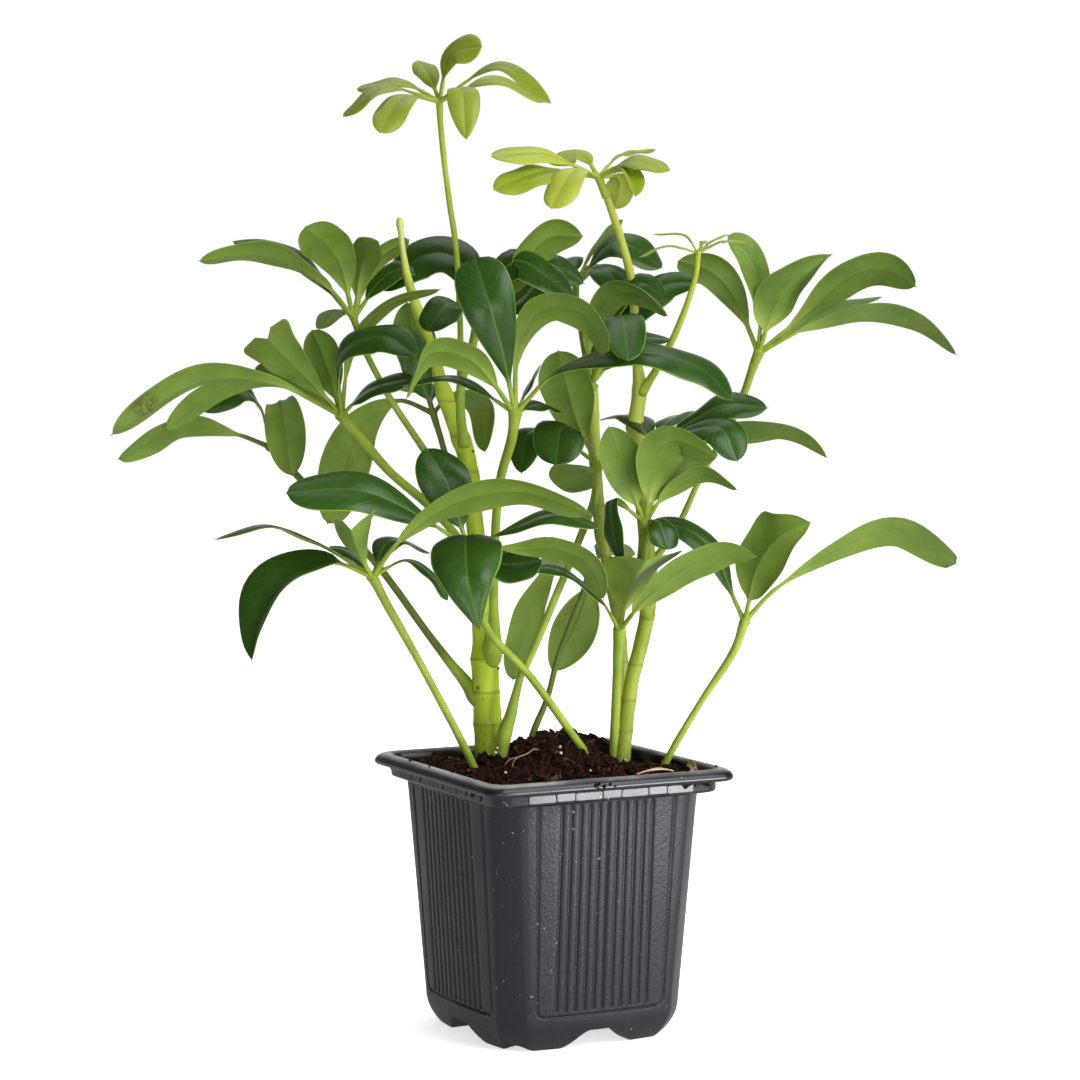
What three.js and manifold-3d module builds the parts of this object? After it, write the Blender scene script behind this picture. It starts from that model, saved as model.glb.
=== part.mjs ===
// A potted umbrella plant: three rooted cuttings with whorled leaves in a square nursery pot.
// Millimetres, +Z up. The origin is under the pot's middle, where it stands on the floor.
import * as THREE from 'three';
import { mergeVertices } from 'three/addons/utils/BufferGeometryUtils.js';
import Module from 'manifold-3d';

const wasm = await Module();
wasm.setup();

// The pot's driving sizes.
const POT_HEIGHT = 100;
const RIM_HALF = 50;
const RIM_CORNER = 6;
const RIM_MOUTH_HALF = 45;
const LIP_HEIGHT = 6;
const BAND_HALF = 46;
const BAND_HEIGHT = 5.5;
const BODY_HALF_AT_FLOOR = 36.2;
const BODY_TAPER = 0.064;
const BODY_CHAMFER = 8;
const BODY_BOW = 1.8;
const WALL = 1.3;
const FOOT_HALF = 32.6;
const FOOT_CURVE_TOP = 11;
const FLOOR_UNDERSIDE = 6.6;
const FLOOR_TOP = 8;
const RECESS_HALF = 27;
const SHELF_DEPTH = 8;
const SHELF_RISE = 1.4;
const STEP_SLOPE = 0.3;
const LIP_ROUNDING = 1.6;
const LIP_TOP_INSET = 1.3;
const CORNER_ROUNDING = 1.2;
const DRAIN_RADIUS = 3;
const DRAIN_OFFSET = 14;
const DRAIN_SIDES = 10;

// How the skirt curves in to the foot: pairs of height and inset from the body's taper.
const FOOT_CURVE = [[2.4, 1.7], [6, 0.55]];

// The arch between two feet and the notch under each corner, as pairs of place and height.
const ARCH = [[-14, -1], [-12.5, 0.3], [-9, 4.4], [-5.5, 6], [5.5, 6], [9, 4.4], [12.5, 0.3], [14, -1]];
const NOTCH = [[-3.4, -1], [-2.6, 0.4], [-1.2, 1.5], [1.2, 1.5], [2.6, 0.4], [3.4, -1]];
const SKIRT_CUT = 22;
const NOTCH_START = 28;

// The ribbed panel on each side.
const GROOVES = 11;
const GROOVE_PITCH = 3.66;
const GROOVE_WIDTH = 1;
const GROOVE_DEPTH = 0.6;
const PANEL_HALF = 25.6;
const PANEL_BOTTOM = 11;

// The soil and how the plant stands in it.
const GAP = 0.3;
const SOIL_EDGE_HEIGHT = 94.6;
const MOUND_HEIGHT = 6;
const MOUND_MIDDLE = [8, 14];
const MOUND_SPREAD = 30;
const LUMP_HEIGHT = 0.7;
const LUMP_PITCH = 37;
const SOIL_STEPS = 11;
const PLANT_TURN = -28;
const STEM_SIDES = 8;
const STALK_SIDES = 6;

// A leaflet: its outline along the midrib as pairs of place and share of the full width.
const OUTLINE = [[0.38, 0.64], [0.6, 1], [0.84, 0.76]];
const STALK_END = 0.2;
const STALK_WIDTH = 1.3;
const STALK_DEPTH = 1.1;
const TIP_WIDTH = 0.9;
const BLADE_THICKNESS = 0.7;
const FOLD = 14;

// The leaflets' and fronds' places are in the plant's own frame: X to the right, Y away and Z up,
// as the plant is seen from the front. A leaflet lists its midrib's points from the hub, its
// width, the way its upper side faces and, where it is cupped, its fold in degrees.
function leaf(points, width, face, fold = FOLD) {
  return { points, width, face, fold };
}

// A frond lists its hub, its stalk from the hub down as x, y, z and radius, and its leaflets.
function frond(name, hub, stalk, leaflets) {
  return { name, hub, stalk, leaflets };
}

const STEMS = {
  stem_left: [
    [-23, 20, 84, 5.2], [-23.3, 20, 100, 5.2], [-24, 20, 121, 5], [-24.8, 19, 134, 5],
    [-25.2, 19, 140, 3.9], [-26.9, 17, 172, 3.3], [-29.8, 15, 197, 3.3], [-31.3, 14, 210, 3.4],
    [-36.3, 13, 223, 2.8], [-40.7, 12, 237, 2.5], [-44.4, 10, 250, 2.3], [-48.6, 9, 262, 2],
    [-52.2, 8, 274, 1.7], [-54, 8, 284, 1.3], [-55.1, 8, 295, 1],
  ],
  stem_middle: [
    [27, 33, 84, 2.3], [27, 33, 100, 2.3], [26.4, 33, 140, 2.1], [22.4, 32, 161, 2.1],
    [19.4, 29, 178, 2.1], [17.3, 24, 197, 2.1], [15.6, 20, 218, 2.5], [14.6, 16, 233, 2.8],
  ],
  stem_right: [
    [31.3, 15, 84, 3.5], [31.3, 15.5, 100, 3.5], [33.8, 20, 125, 3.4], [36.4, 25, 150, 3.4],
    [37.2, 26, 161, 3.3], [35.5, 27, 178, 3], [33.2, 28, 200, 2.7], [31.4, 27, 219, 2.8],
    [33, 27, 234, 2.8], [32.2, 26, 242, 1.9], [29.8, 22, 273, 1.6], [26, 20, 288, 1.5],
    [20.5, 16, 304, 1.4],
  ],
};
const STEM_COLOURS = { stem_left: 0xa7b53a, stem_middle: 0x9bb041, stem_right: 0xb4c44c };

const FRONDS = [
  frond('frond_top', [-40.5, 5, 338],
    [[-40.2, 5, 331, 1.1], [-38.8, 6, 316, 0.9], [-36.9, 7, 301, 1], [-34.8, 9, 286, 1.2],
      [-33.3, 13, 256, 1.3], [-33.4, 16, 234, 1.5], [-32, 17.5, 214, 1.6]], [
      leaf([[-20, -10, 4], [-34, -16, -7]], 11, [0, -0.3, 1]),
      leaf([[-14.6, 4, 7.3], [-30.6, 10, 5.5]], 10, [0, 0.2, 1]),
      leaf([[-4, 9, 8], [-8.4, 22, 13]], 10, [0, 0, 1]),
      leaf([[4.4, -3, 16.4], [15.7, -8, 18.9]], 10, [-0.5, -0.6, 0.6]),
      leaf([[22, -4, 12.4], [40.5, -10, -1.8]], 11, [0, -0.35, 1]),
      leaf([[20, 9, 7.3], [38, 14, 0.7]], 9, [0, 0, 1]),
      leaf([[8, -16, 3], [9.5, -27, -14.6]], 12, [0, -0.5, 1]),
      leaf([[-12.8, -16, 0], [-21.9, -26, -12.8]], 12, [0, -0.4, 1]),
    ]),
  frond('frond_top_right', [17.4, 15, 311.3],
    [[18.5, 15.4, 308.6, 1.4], [20.5, 16, 304, 1.5]], [
      leaf([[-21.4, -10, 8.1], [-39.2, -17, 6.2]], 13, [0, -0.5, 1]),
      leaf([[-19.6, -15, 0.9], [-38.3, -25, -6.1]], 13, [0, -0.5, 1]),
      leaf([[-8.7, -17, 1], [-17.4, -27, -13]], 13, [0, -0.6, 1]),
      leaf([[-6.6, 7, 7.8], [-18.1, 6, 4.7]], 10, [0, 0, 1]),
      leaf([[8.2, 6, 8.5], [21.3, 10, 10.4]], 9, [0, 0.1, 1]),
      leaf([[12.2, -8, 5.5], [25.5, -14, 1.3]], 12, [0, -0.6, 1]),
      leaf([[9.6, -9, 1.5], [13.7, -18, -8.2]], 10, [0, -0.6, 1]),
      leaf([[7, 10, 0], [6, 18, -11]], 11, [0, 0.3, 1]),
    ]),
  frond('frond_upper_left', [-72.2, 10, 259.7],
    [[-69, 10, 250, 1.3], [-60, 11, 232, 1.4], [-49, 12, 215, 1.5], [-38, 13, 199, 1.6],
      [-29, 15, 190, 1.7]], [
      leaf([[-10.3, -5, 12.3], [-31.7, -10, 22.6], [-54.8, -18, 20.2]], 16, [0, 0.4, 1]),
      leaf([[-24, 6, 24.2], [-45.4, 10, 28.4]], 14, [0, -0.35, 1]),
      leaf([[-5.3, -6, 20.5], [-15.7, -25, 32.5]], 17, [0, 1, 0.3]),
      leaf([[4, 2, 20.5], [10, -15, 27.5]], 12, [0.3, 1, 0.2]),
      leaf([[7.2, 10, 20.6], [20.1, 12, 29.2]], 9, [0, 0.3, 1]),
      leaf([[11, 8, 14.8], [22, 12, 20], [34, 14, 20.7]], 13, [0, -0.3, 1]),
      leaf([[-6, 10, 3], [-14, 18, -4]], 12, [0, 0, 1]),
    ]),
  frond('frond_crown_left', [-26.5, 0, 259.6],
    [[-29, 2, 248, 1.9], [-32.5, 3, 237, 2], [-33, 5, 224, 2], [-31.6, 9.5, 213, 2]], [
      leaf([[-16.7, -8, 20.4], [-26.2, -15, 7.7]], 15, [0, -0.5, 1]),
      leaf([[-10, -10, 5], [-17.5, -18, -5.2]], 12, [0, -0.4, 1]),
      leaf([[13.5, 2, 20.4], [24.4, 1, 14.9], [34.5, 0, 6.6]], 16, [0, -0.5, 1]),
      leaf([[11, 8, 12], [25, 12, 29], [38, 13, 30]], 16, [-0.3, 0.6, 1]),
      leaf([[14, 14, 6], [28, 22, 18], [39, 24, 13]], 15, [0, -0.6, 1]),
      leaf([[0, 18, 14], [4, 38, 8]], 15, [0, 0, 1]),
    ]),
  frond('frond_left', [-76.6, 8, 224.1],
    [[-69.5, 8, 215.5, 2.2], [-59, 8, 203.5, 2], [-44.7, 8, 191, 1.9], [-33.5, 11, 178, 1.9],
      [-26, 16, 163, 2]], [
      leaf([[-25.5, -6, 12.2], [-50, -10, 13], [-83, -12, -5.9]], 17.4, [0, 0.9, 1]),
      leaf([[-43.7, 7, 9.8], [-70.5, 10, -5]], 15.3, [0, 0.9, 1]),
      leaf([[-14.7, -5, 15.4], [-34.9, -10, 25]], 19, [0.3, 1, 0.5]),
      leaf([[-5, 3, 14.5], [-11.3, 7, 31.5]], 14, [0.2, 1, 0.3]),
      leaf([[4.2, -5, 25.2], [16.2, -8, 39.9], [36.8, -10, 46]], 12, [-0.7, 0.35, 0.7]),
      leaf([[1, -16, 23.2], [16.6, -25, 29.1], [29, -37, 21.8]], 15, [0, -0.8, 0.8]),
      leaf([[11.3, -10, 10.1], [27.8, -15, 14]], 15, [0, -0.6, 1]),
      leaf([[-16, 8, 12], [-33, 12, 17.4]], 9, [0, 0.9, 0.5]),
    ]),
  frond('frond_far_left', [-105.5, 38, 211.6],
    [[-99.4, 38, 205.3, 1.6], [-85.8, 36, 191.3, 1.5], [-62.4, 32, 167.6, 1.5],
      [-43.2, 26, 144.8, 1.6], [-28, 21, 122, 2]], [
      leaf([[-12.2, -3, 5], [-31, -13, 9.4], [-54, -26, -3.8]], 20, [0, -0.5, 1]),
      leaf([[-5, -3, 15], [-11, -4, 20], [-25, -8, 16]], 15, [-0.3, 0.8, 0.6]),
      leaf([[5, -10, 17.5], [10.4, -28, -9.9]], 15, [0, -0.8, 0.5]),
      leaf([[-3, 7, 6], [-5, 9, -4]], 9, [0, 0.6, 1]),
    ]),
  frond('frond_inner_left', [-43.4, 15, 224.9],
    [[-41, 15, 217, 1.3], [-38, 15, 208, 1.3], [-30, 15, 198, 1.4]], [
      leaf([[-13, 2, 4.5], [-25.5, 3, -4.6], [-37.4, -6, -41]], 17, [-0.4, 0.8, 0.3]),
      leaf([[-4, -8, 14], [-7, -11, 30.3]], 12, [0.2, -0.8, 0.4]),
      leaf([[-5, 6, 16], [-10, 7, 41]], 13, [0, 0.9, 0.3]),
      leaf([[7.7, 15, 7], [16.9, 20, 3], [18.9, 15, -15.2]], 14, [0.3, 0.6, 0.7]),
      leaf([[-4, 16, 10], [-14, 32, 8]], 14, [0, 0, 1]),
    ]),
  frond('frond_centre', [-12.9, -22, 228.5],
    [[-14, -21, 219, 2.2], [-18.4, -14, 201, 1.9], [-20.7, -2, 172, 1.9], [-21, 8, 150, 2],
      [-23, 17, 138, 2.2]], [
      leaf([[-4.1, -10, 17.7], [-8.6, -16, 35.2], [-14.8, -8, 52.5]], 20.5, [0.1, -1, 0.3]),
      leaf([[-15.8, -10, 16.7], [-29.7, -16, 18.8], [-37.8, -22, 2.4]], 16, [-0.2, 0.8, 1]),
      leaf([[1.5, -6, 21.3], [10.7, -12, 34.2], [24.7, -18, 31.7], [33, -26, 23]], 16, [-0.5, 0.7, 0.6]),
      leaf([[-21.6, 7, 9.5], [-40.8, 12, 6.6]], 12, [0, -0.2, 1]),
      leaf([[16, -3, 12.4], [44, -5, 18.8], [65.5, -7, 13.2], [77.2, -9, 1.4]], 18, [0, -0.35, 1]),
      leaf([[5, 8, 8], [9, 14, 14]], 9, [0, 0.6, 1]),
      leaf([[8.6, 10, 0], [17, 14, -3]], 12, [0.2, -0.2, 1]),
    ]),
  frond('frond_crown_middle', [14.4, 15, 235.2],
    [[14.5, 15.2, 233.9, 2.2]], [
      leaf([[0, -5, 18], [9, -10, 32.8], [17.9, -15, 32.6], [27.9, -20, 25]], 15, [0, 0.7, 1]),
      leaf([[8.7, -23, 21.8], [10.7, -41, 24.1], [12.2, -61, 8.6]], 16, [0, -0.8, 0.6]),
      leaf([[8, 2, 27.5], [18.5, 3, 37.1], [27.6, -1, 30.1]], 12, [0, -0.5, 1]),
      leaf([[18.8, 10, 29.5], [29.3, 13, 36.9], [40.3, 10, 37.6]], 14, [0, -0.4, 1]),
      leaf([[17, 12, 17], [30.2, 17, 17]], 12, [0, -0.3, 1]),
      leaf([[8, 20, 20], [20, 42, 16]], 15, [0, 0, 1]),
    ]),
  frond('frond_back_middle', [9.3, 44, 272.5],
    [[9.8, 43, 266, 1.3], [12, 41, 252, 1.4], [14.5, 36, 236, 1.5], [16.5, 30, 220, 1.6],
      [16.8, 24, 206, 1.7]], [
      leaf([[6.3, 8, 12.8], [18.3, 15, 25.1]], 12, [0, 0.5, 1]),
      leaf([[14.9, -5, 15.6], [32.4, -10, 6]], 18, [0, -0.7, 1]),
      leaf([[-10, -6, 6], [-22, -10, -2]], 14, [0, -0.4, 1]),
      leaf([[10, -12, 6], [19, -22, -5]], 14, [0, -0.6, 1]),
      leaf([[-4, 16, 10], [-10, 32, 4]], 14, [0, 0, 1]),
      leaf([[10, 14, 8], [22, 28, 0]], 14, [0, 0, 1]),
    ]),
  frond('frond_upper_right', [77, 25, 246.9],
    [[75.5, 26, 243, 1.9], [71.6, 29, 231, 1.7], [64.6, 31, 215.6, 1.4], [57.3, 31, 203.3, 1.3],
      [46.7, 29, 181, 1.4], [37, 26, 168, 1.6]], [
      leaf([[-6.8, 6, 16.2], [-16, 18, 29.3], [-29, 28, 35]], 15, [-0.2, -0.7, 0.6]),
      leaf([[0.5, -2, 24.4], [-3.9, -4, 36], [-12.3, -6, 43.4]], 15, [0.6, -0.7, 0.3]),
      leaf([[6, -5, 19], [12.6, -8, 27.8], [25.7, -10, 35.9]], 18, [-0.5, 0.8, 0.4]),
      leaf([[15.4, -2, 13], [33.3, -6, 28.7], [46, -8, 31.2], [57.5, -9, 24.2]], 17.5, [-0.1, 0.8, 0.8]),
      leaf([[22.7, 10, 14.5], [47.5, 14, 21]], 14.5, [0, -0.2, 1]),
      leaf([[18.9, -4, 10], [38.6, -6, 14.7], [58.1, -8, 12.1], [72.5, -9, -1]], 15.5, [0, 0.5, 1]),
    ]),
  frond('frond_new', [53.3, 5, 283.2],
    [[52.8, 6, 276, 0.9], [50, 8, 266, 1], [44.7, 14, 252, 1.2], [39, 21, 241, 1.4],
      [33.5, 26, 232, 1.5]], [
      leaf([[-4.4, 3, 6.5], [-15.7, 6, 7]], 3, [0, 0, 1]),
      leaf([[-10.6, -3, 2.6], [-21.5, -6, -1.8]], 4, [0, 0, 1]),
      leaf([[4.4, 2, 4], [11, 4, 7]], 3.5, [0, 0, 1]),
      leaf([[8.4, -3, 4], [16.8, -5, 3.6]], 5, [0, 0, 1]),
      leaf([[2, -5, 4], [3, -10, 3]], 3, [0, 0, 1]),
    ]),
  frond('frond_right_back', [36.3, 8, 213.3],
    [[35, 13, 206, 1.6], [33, 26, 199, 1.7]], [
      leaf([[14.3, -6, 8.6], [26.8, -10, 14.8], [42.2, -12, 13.8]], 16, [0, -0.7, 1]),
      leaf([[23.6, -2, 1.5], [48.7, -8, 2.8], [63.9, -13, -4.3]], 17, [0, 0.1, 1]),
      leaf([[8, 14, 9], [16.2, 32, 11.1]], 15, [0, 0, 1]),
      leaf([[-6, 24, 10], [-17.7, 34, 8.5]], 15, [0, 0, 1]),
      leaf([[13.9, -14, 6], [25, -22, 6.8], [30.3, -28, -5.2]], 17, [0, -0.6, 1]),
    ]),
  frond('frond_right', [33.9, -8, 185.7],
    [[33.5, -4, 178, 2.3], [33, 4, 168, 2.2], [33.6, 15, 157, 2.2], [36, 24, 149, 2.2]], [
      leaf([[-7.4, -6, 16.5], [-13.7, -14, 35.3]], 15.5, [-0.3, 0.9, 0.3]),
      leaf([[2.3, -6, 15.7], [9.1, -14, 30.3], [24.5, -18, 24.4]], 20, [-0.3, 0.8, 0.6]),
      leaf([[6, -2, 15], [16.4, 2, 23.3], [26.7, 4, 24.3]], 13, [0, 0.8, 0.7]),
      leaf([[7.1, -2, 10.2], [21.3, -6, 18.3], [32.8, -10, 12.3]], 12, [0, 0.6, 1]),
      leaf([[-12.1, -6, 8.6], [-12.2, -10, -2], [-8.7, -12, -13.3]], 10, [-0.8, -0.5, 0.3]),
      leaf([[5, -6, 1], [8, -12, -9]], 12, [0.3, -0.8, 0.4]),
    ]),
  frond('frond_low_middle', [25.3, 12, 144.8],
    [[24.8, 13, 136, 2.3], [24.4, 14, 124, 2.1], [23.4, 15, 100, 2.1], [23.4, 15, 84, 2.1]], [
      leaf([[3, -20, 15], [6.5, -50, 26.4]], 22, [0, 0, 1], 34),
      leaf([[9.7, -20, 14.1], [24.3, -30, 26], [36.6, -34, 31.3], [47.7, -38, 29.8]], 17, [-0.2, 0.7, 0.8]),
      leaf([[-8.3, -14, 13.6], [-23.9, -18, 24.1], [-40.8, -20, 23.5]], 12, [0, -0.2, 1]),
    ]),
  frond('frond_low_right', [70.1, -5, 149.5],
    [[66.6, -4, 139.2, 1.8], [54, -2, 119, 1.4], [42.1, 0, 97.6, 1.6], [38, 0.5, 86, 1.6]], [
      leaf([[-5.9, 3, 13.2], [-11.5, 7, 26.4], [-21.2, 9, 33.6], [-33.2, 11, 36.5]], 16, [0.2, -0.6, 0.8]),
      leaf([[5.7, -7, 21.2], [13.6, -11, 32.3], [21.7, -13, 37.1]], 20, [-0.5, -0.7, 0.3]),
      leaf([[10.7, -3, 11.9], [33.3, -11, 27.6], [54.1, -17, 33.7], [74.9, -21, 24]], 17, [0, 0.8, 0.9]),
    ]),
  frond('frond_low_left', [-63.8, -22, 167.1],
    [[-59.3, -20, 158, 2], [-47, -14, 133, 1.6], [-28.7, -2, 96, 1.9], [-25, 0, 85, 1.9]], [
      leaf([[-18.2, -4, 11.7], [-37.2, -10, 18.8], [-55.1, -14, 14.1]], 12, [0, 0, 1]),
      leaf([[-14.5, -6, 5.4], [-34.4, -14, -5.3], [-41.7, -18, -27.9]], 20, [-0.4, -0.5, 0.8]),
      leaf([[-4, -8, 8], [-6.2, -26, 18.4]], 14, [-0.2, 0, 1], 30),
      leaf([[-9, 10, 8], [-16.2, 17, 10]], 10, [0, 0, 1]),
      leaf([[10.3, -12, 13.8], [28.3, -22, 27.4], [52.8, -27, 32.2], [77.5, -30, 24.1]], 20, [0, 0.6, 1]),
      leaf([[11.8, 0, 6.1], [21.4, -2, 0.9], [27.1, -3, -8.3]], 12, [0, 0, 1]),
      leaf([[5.7, 14, 12.4], [19.8, 22, 7.2]], 13, [0, -0.3, 1]),
    ]),
  frond('frond_front', [-29.6, -22, 177.5],
    [[-28, -20, 166, 1.9], [-23, -14, 148, 1.7], [-7.6, 0, 129, 1.7], [8, 14, 106, 1.7],
      [14, 19, 96, 1.8], [19, 23, 87, 1.8]], [
      leaf([[-15.1, -6, 10.3], [-37.6, -14, 20.7], [-64, -18, 20.5]], 20, [0, -0.8, 0.8]),
      leaf([[-4.7, 0, 13.6], [-10, 0, 26.1], [-15.5, 4, 35.6]], 19, [0.2, -1, 0.2]),
      leaf([[-0.4, -14, 5.1], [1.4, -32, -7.3], [5, -36, -25.7]], 26, [0, -0.9, 0.4]),
      leaf([[16.7, -4, 7.7], [30.9, -8, 12.6], [46.8, -10, 7.7]], 15, [0, -0.4, 1]),
      leaf([[16.8, -8, 0.5], [32.6, -14, 0.9], [43.8, -16, -5], [48, -18, -17.1]], 18, [0, 0.6, 0.9]),
      leaf([[11.3, 4, -6.4], [26.3, 8, -4.9]], 17, [0, -0.7, 0.7]),
    ]),
  frond('frond_low_back', [14.7, 38, 165.8],
    [[12, 34, 158, 1.4], [5.3, 28, 146, 1.4], [-0.3, 25, 128, 1.4], [-5, 23, 103, 1.5],
      [-7, 22, 88, 1.5]], [
      leaf([[-10.5, 2, 3.5], [-22.5, 4, -13.8], [-29.2, 4, -43.1]], 17, [-0.5, 0.8, 0.3]),
      leaf([[-1.7, 4, -12], [-6.7, 4, -25.1], [-14.9, 2, -39.3]], 19, [0.3, 0.9, 0.2]),
      leaf([[8, 14, 8], [14, 34, 2]], 15, [0, 0, 1]),
      leaf([[-8, 14, 6], [-18, 32, -4]], 15, [0, 0, 1]),
    ]),
  frond('frond_inner_middle', [17.2, 5, 206.1],
    [[15.6, 8, 193, 1.7], [11.8, 12, 180, 1.7], [3.4, 15, 150, 1.8], [-7.7, 12, 125, 1.8],
      [-15, 9.5, 108, 2.6], [-17, 9, 96, 2.8], [-18, 9, 86, 2.8]], [
      leaf([[-4.9, -10, 9.4], [-12.2, -17, 13.9], [-15.5, -25, 0.6]], 17, [-0.3, -0.3, 1]),
      leaf([[-15.7, -5, 11.1], [-24.8, -10, 12], [-28, -17, -2.6]], 16, [-0.3, 0.1, 1]),
      leaf([[-6, 14, -4], [-16.4, 23, -7.6]], 17, [0, 0.9, 0.6]),
      leaf([[-1.5, -3, -14], [0, 5, -31]], 7, [0.9, 0, 0.3]),
      leaf([[-7.3, 3, 14.5], [-11.7, 1, 29.2], [-14.7, -1, 42]], 20, [0.2, 0.9, 0.2]),
    ]),
];
const UP = new THREE.Vector3(0, 0, 1);
const YOUNG = new Set(['frond_top', 'frond_top_right', 'frond_new']);

function vector([x, y, z]) {
  return new THREE.Vector3(x, y, z);
}

// Joins rings with the same number of points into one closed skin. A band named in otherWay has
// its quads split along the other diagonal.
function skin(rings, otherWay = new Set()) {
  const count = rings[0].length;
  const positions = rings.flat().flatMap((point) => point.toArray());
  const index = [];
  for (let row = 0; row + 1 < rings.length; row += 1) {
    for (let column = 0; column < count; column += 1) {
      const a = row * count + column;
      const b = row * count + ((column + 1) % count);
      const c = b + count;
      const d = a + count;
      if (otherWay.has(column)) index.push(a, b, d, b, c, d);
      else index.push(a, b, c, a, c, d);
    }
  }
  const last = (rings.length - 1) * count;
  for (let column = 1; column + 1 < count; column += 1) {
    index.push(0, column + 1, column);
    index.push(last, last + column, last + column + 1);
  }
  const geometry = new THREE.BufferGeometry();
  geometry.setAttribute('position', new THREE.Float32BufferAttribute(positions, 3));
  geometry.setIndex(index);
  return geometry;
}

function toSolid(geometry) {
  const bare = geometry.clone();
  bare.deleteAttribute('normal');
  bare.deleteAttribute('uv');
  const merged = mergeVertices(bare, 1e-4);
  const vertProperties = new Float32Array(merged.attributes.position.array);
  const triVerts = new Uint32Array(merged.index.array);
  return new wasm.Manifold(new wasm.Mesh({ numProp: 3, vertProperties, triVerts }));
}

function toGeometry(solid) {
  const { vertProperties, triVerts } = solid.getMesh();
  const geometry = new THREE.BufferGeometry();
  geometry.setAttribute('position', new THREE.Float32BufferAttribute(vertProperties, 3));
  geometry.setIndex(Array.from(triVerts));
  geometry.computeVertexNormals();
  return geometry;
}

function joinAll(solids) {
  return solids.reduce((whole, next) => whole.add(next));
}

// The horizontal outline of the pot at one height: bowed sides between cut or rounded corners.
function potRing(half, corner, height, bow = 0, cornerPush = 0) {
  const points = [];
  const steps = 4;
  for (let side = 0; side < 4; side += 1) {
    const turn = (side * Math.PI) / 2;
    const reach = half - corner;
    for (let step = 0; step <= steps; step += 1) {
      const along = -reach + (2 * reach * step) / steps;
      const out = half + bow * (1 - (along / reach) ** 2);
      points.push(new THREE.Vector3(along, -out, height).applyAxisAngle(UP, turn));
    }
    const middle = half - corner / 2 + cornerPush;
    points.push(new THREE.Vector3(middle, -middle, height).applyAxisAngle(UP, turn));
  }
  return points;
}

function bodyHalf(height) {
  return BODY_HALF_AT_FLOOR + BODY_TAPER * height;
}

// The outside of the pot: feet that curve in, the tapered body, the band and the lip.
function potOutside() {
  const lipFoot = POT_HEIGHT - LIP_HEIGHT;
  const bandFoot = lipFoot - BAND_HEIGHT;
  const bodyRing = (height, inset) =>
    potRing(bodyHalf(height) - inset, BODY_CHAMFER, height, BODY_BOW);
  const rimRing = (half, height) => potRing(half, RIM_CORNER, height, 0, CORNER_ROUNDING);
  return skin([
    potRing(FOOT_HALF, BODY_CHAMFER, 0, BODY_BOW / 2),
    ...FOOT_CURVE.map(([height, inset]) => bodyRing(height, inset)),
    bodyRing(FOOT_CURVE_TOP, 0),
    bodyRing(bandFoot, 0),
    rimRing(BAND_HALF - STEP_SLOPE, bandFoot + STEP_SLOPE),
    rimRing(BAND_HALF, lipFoot),
    rimRing(RIM_HALF - 2 * STEP_SLOPE, lipFoot + STEP_SLOPE),
    rimRing(RIM_HALF, lipFoot + LIP_ROUNDING),
    rimRing(RIM_HALF, POT_HEIGHT - LIP_ROUNDING),
    rimRing(RIM_HALF - LIP_TOP_INSET, POT_HEIGHT),
  ]);
}

// The inside of the pot. With an inset it is the block of soil, clear of the wall all round and
// lifted off the shelf.
function potInside(inset, floor, top) {
  const shelf = POT_HEIGHT - SHELF_DEPTH;
  const bodyRing = (height, lift) =>
    potRing(bodyHalf(height) - WALL - inset, BODY_CHAMFER, height + lift, BODY_BOW);
  const mouthRing = (shrink, height) =>
    potRing(RIM_MOUTH_HALF - shrink, RIM_CORNER, height, 0, CORNER_ROUNDING / 2);
  return skin([
    bodyRing(floor, 0),
    bodyRing(shelf, 3 * inset),
    mouthRing(WALL / 2 + 2 * inset, shelf + SHELF_RISE + 3 * inset),
    mouthRing(inset, top),
  ]);
}

// A long bar with the given outline that cuts through the skirt of one side, from start outwards.
function skirtCutter(outline, start) {
  const shape = new THREE.Shape(outline.map(([x, y]) => new THREE.Vector2(x, y)));
  const bar = new THREE.ExtrudeGeometry(shape, { depth: SKIRT_CUT, bevelEnabled: false });
  return bar.rotateX(Math.PI / 2).translate(0, -start, 0);
}

// One upright groove of the ribbed panel, leaning with the side's taper.
function grooveCutter(along) {
  const top = POT_HEIGHT - LIP_HEIGHT - BAND_HEIGHT - GROOVE_DEPTH;
  const reach = bodyHalf(POT_HEIGHT / 2) - BODY_CHAMFER;
  const bow = BODY_BOW * (1 - (along / reach) ** 2);
  const middle = (top + PANEL_BOTTOM) / 2;
  const bar = new THREE.BoxGeometry(GROOVE_WIDTH, 2 * GROOVE_DEPTH, top - PANEL_BOTTOM);
  return bar.rotateX(Math.atan(BODY_TAPER)).translate(along, -(bodyHalf(middle) + bow), middle);
}

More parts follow.
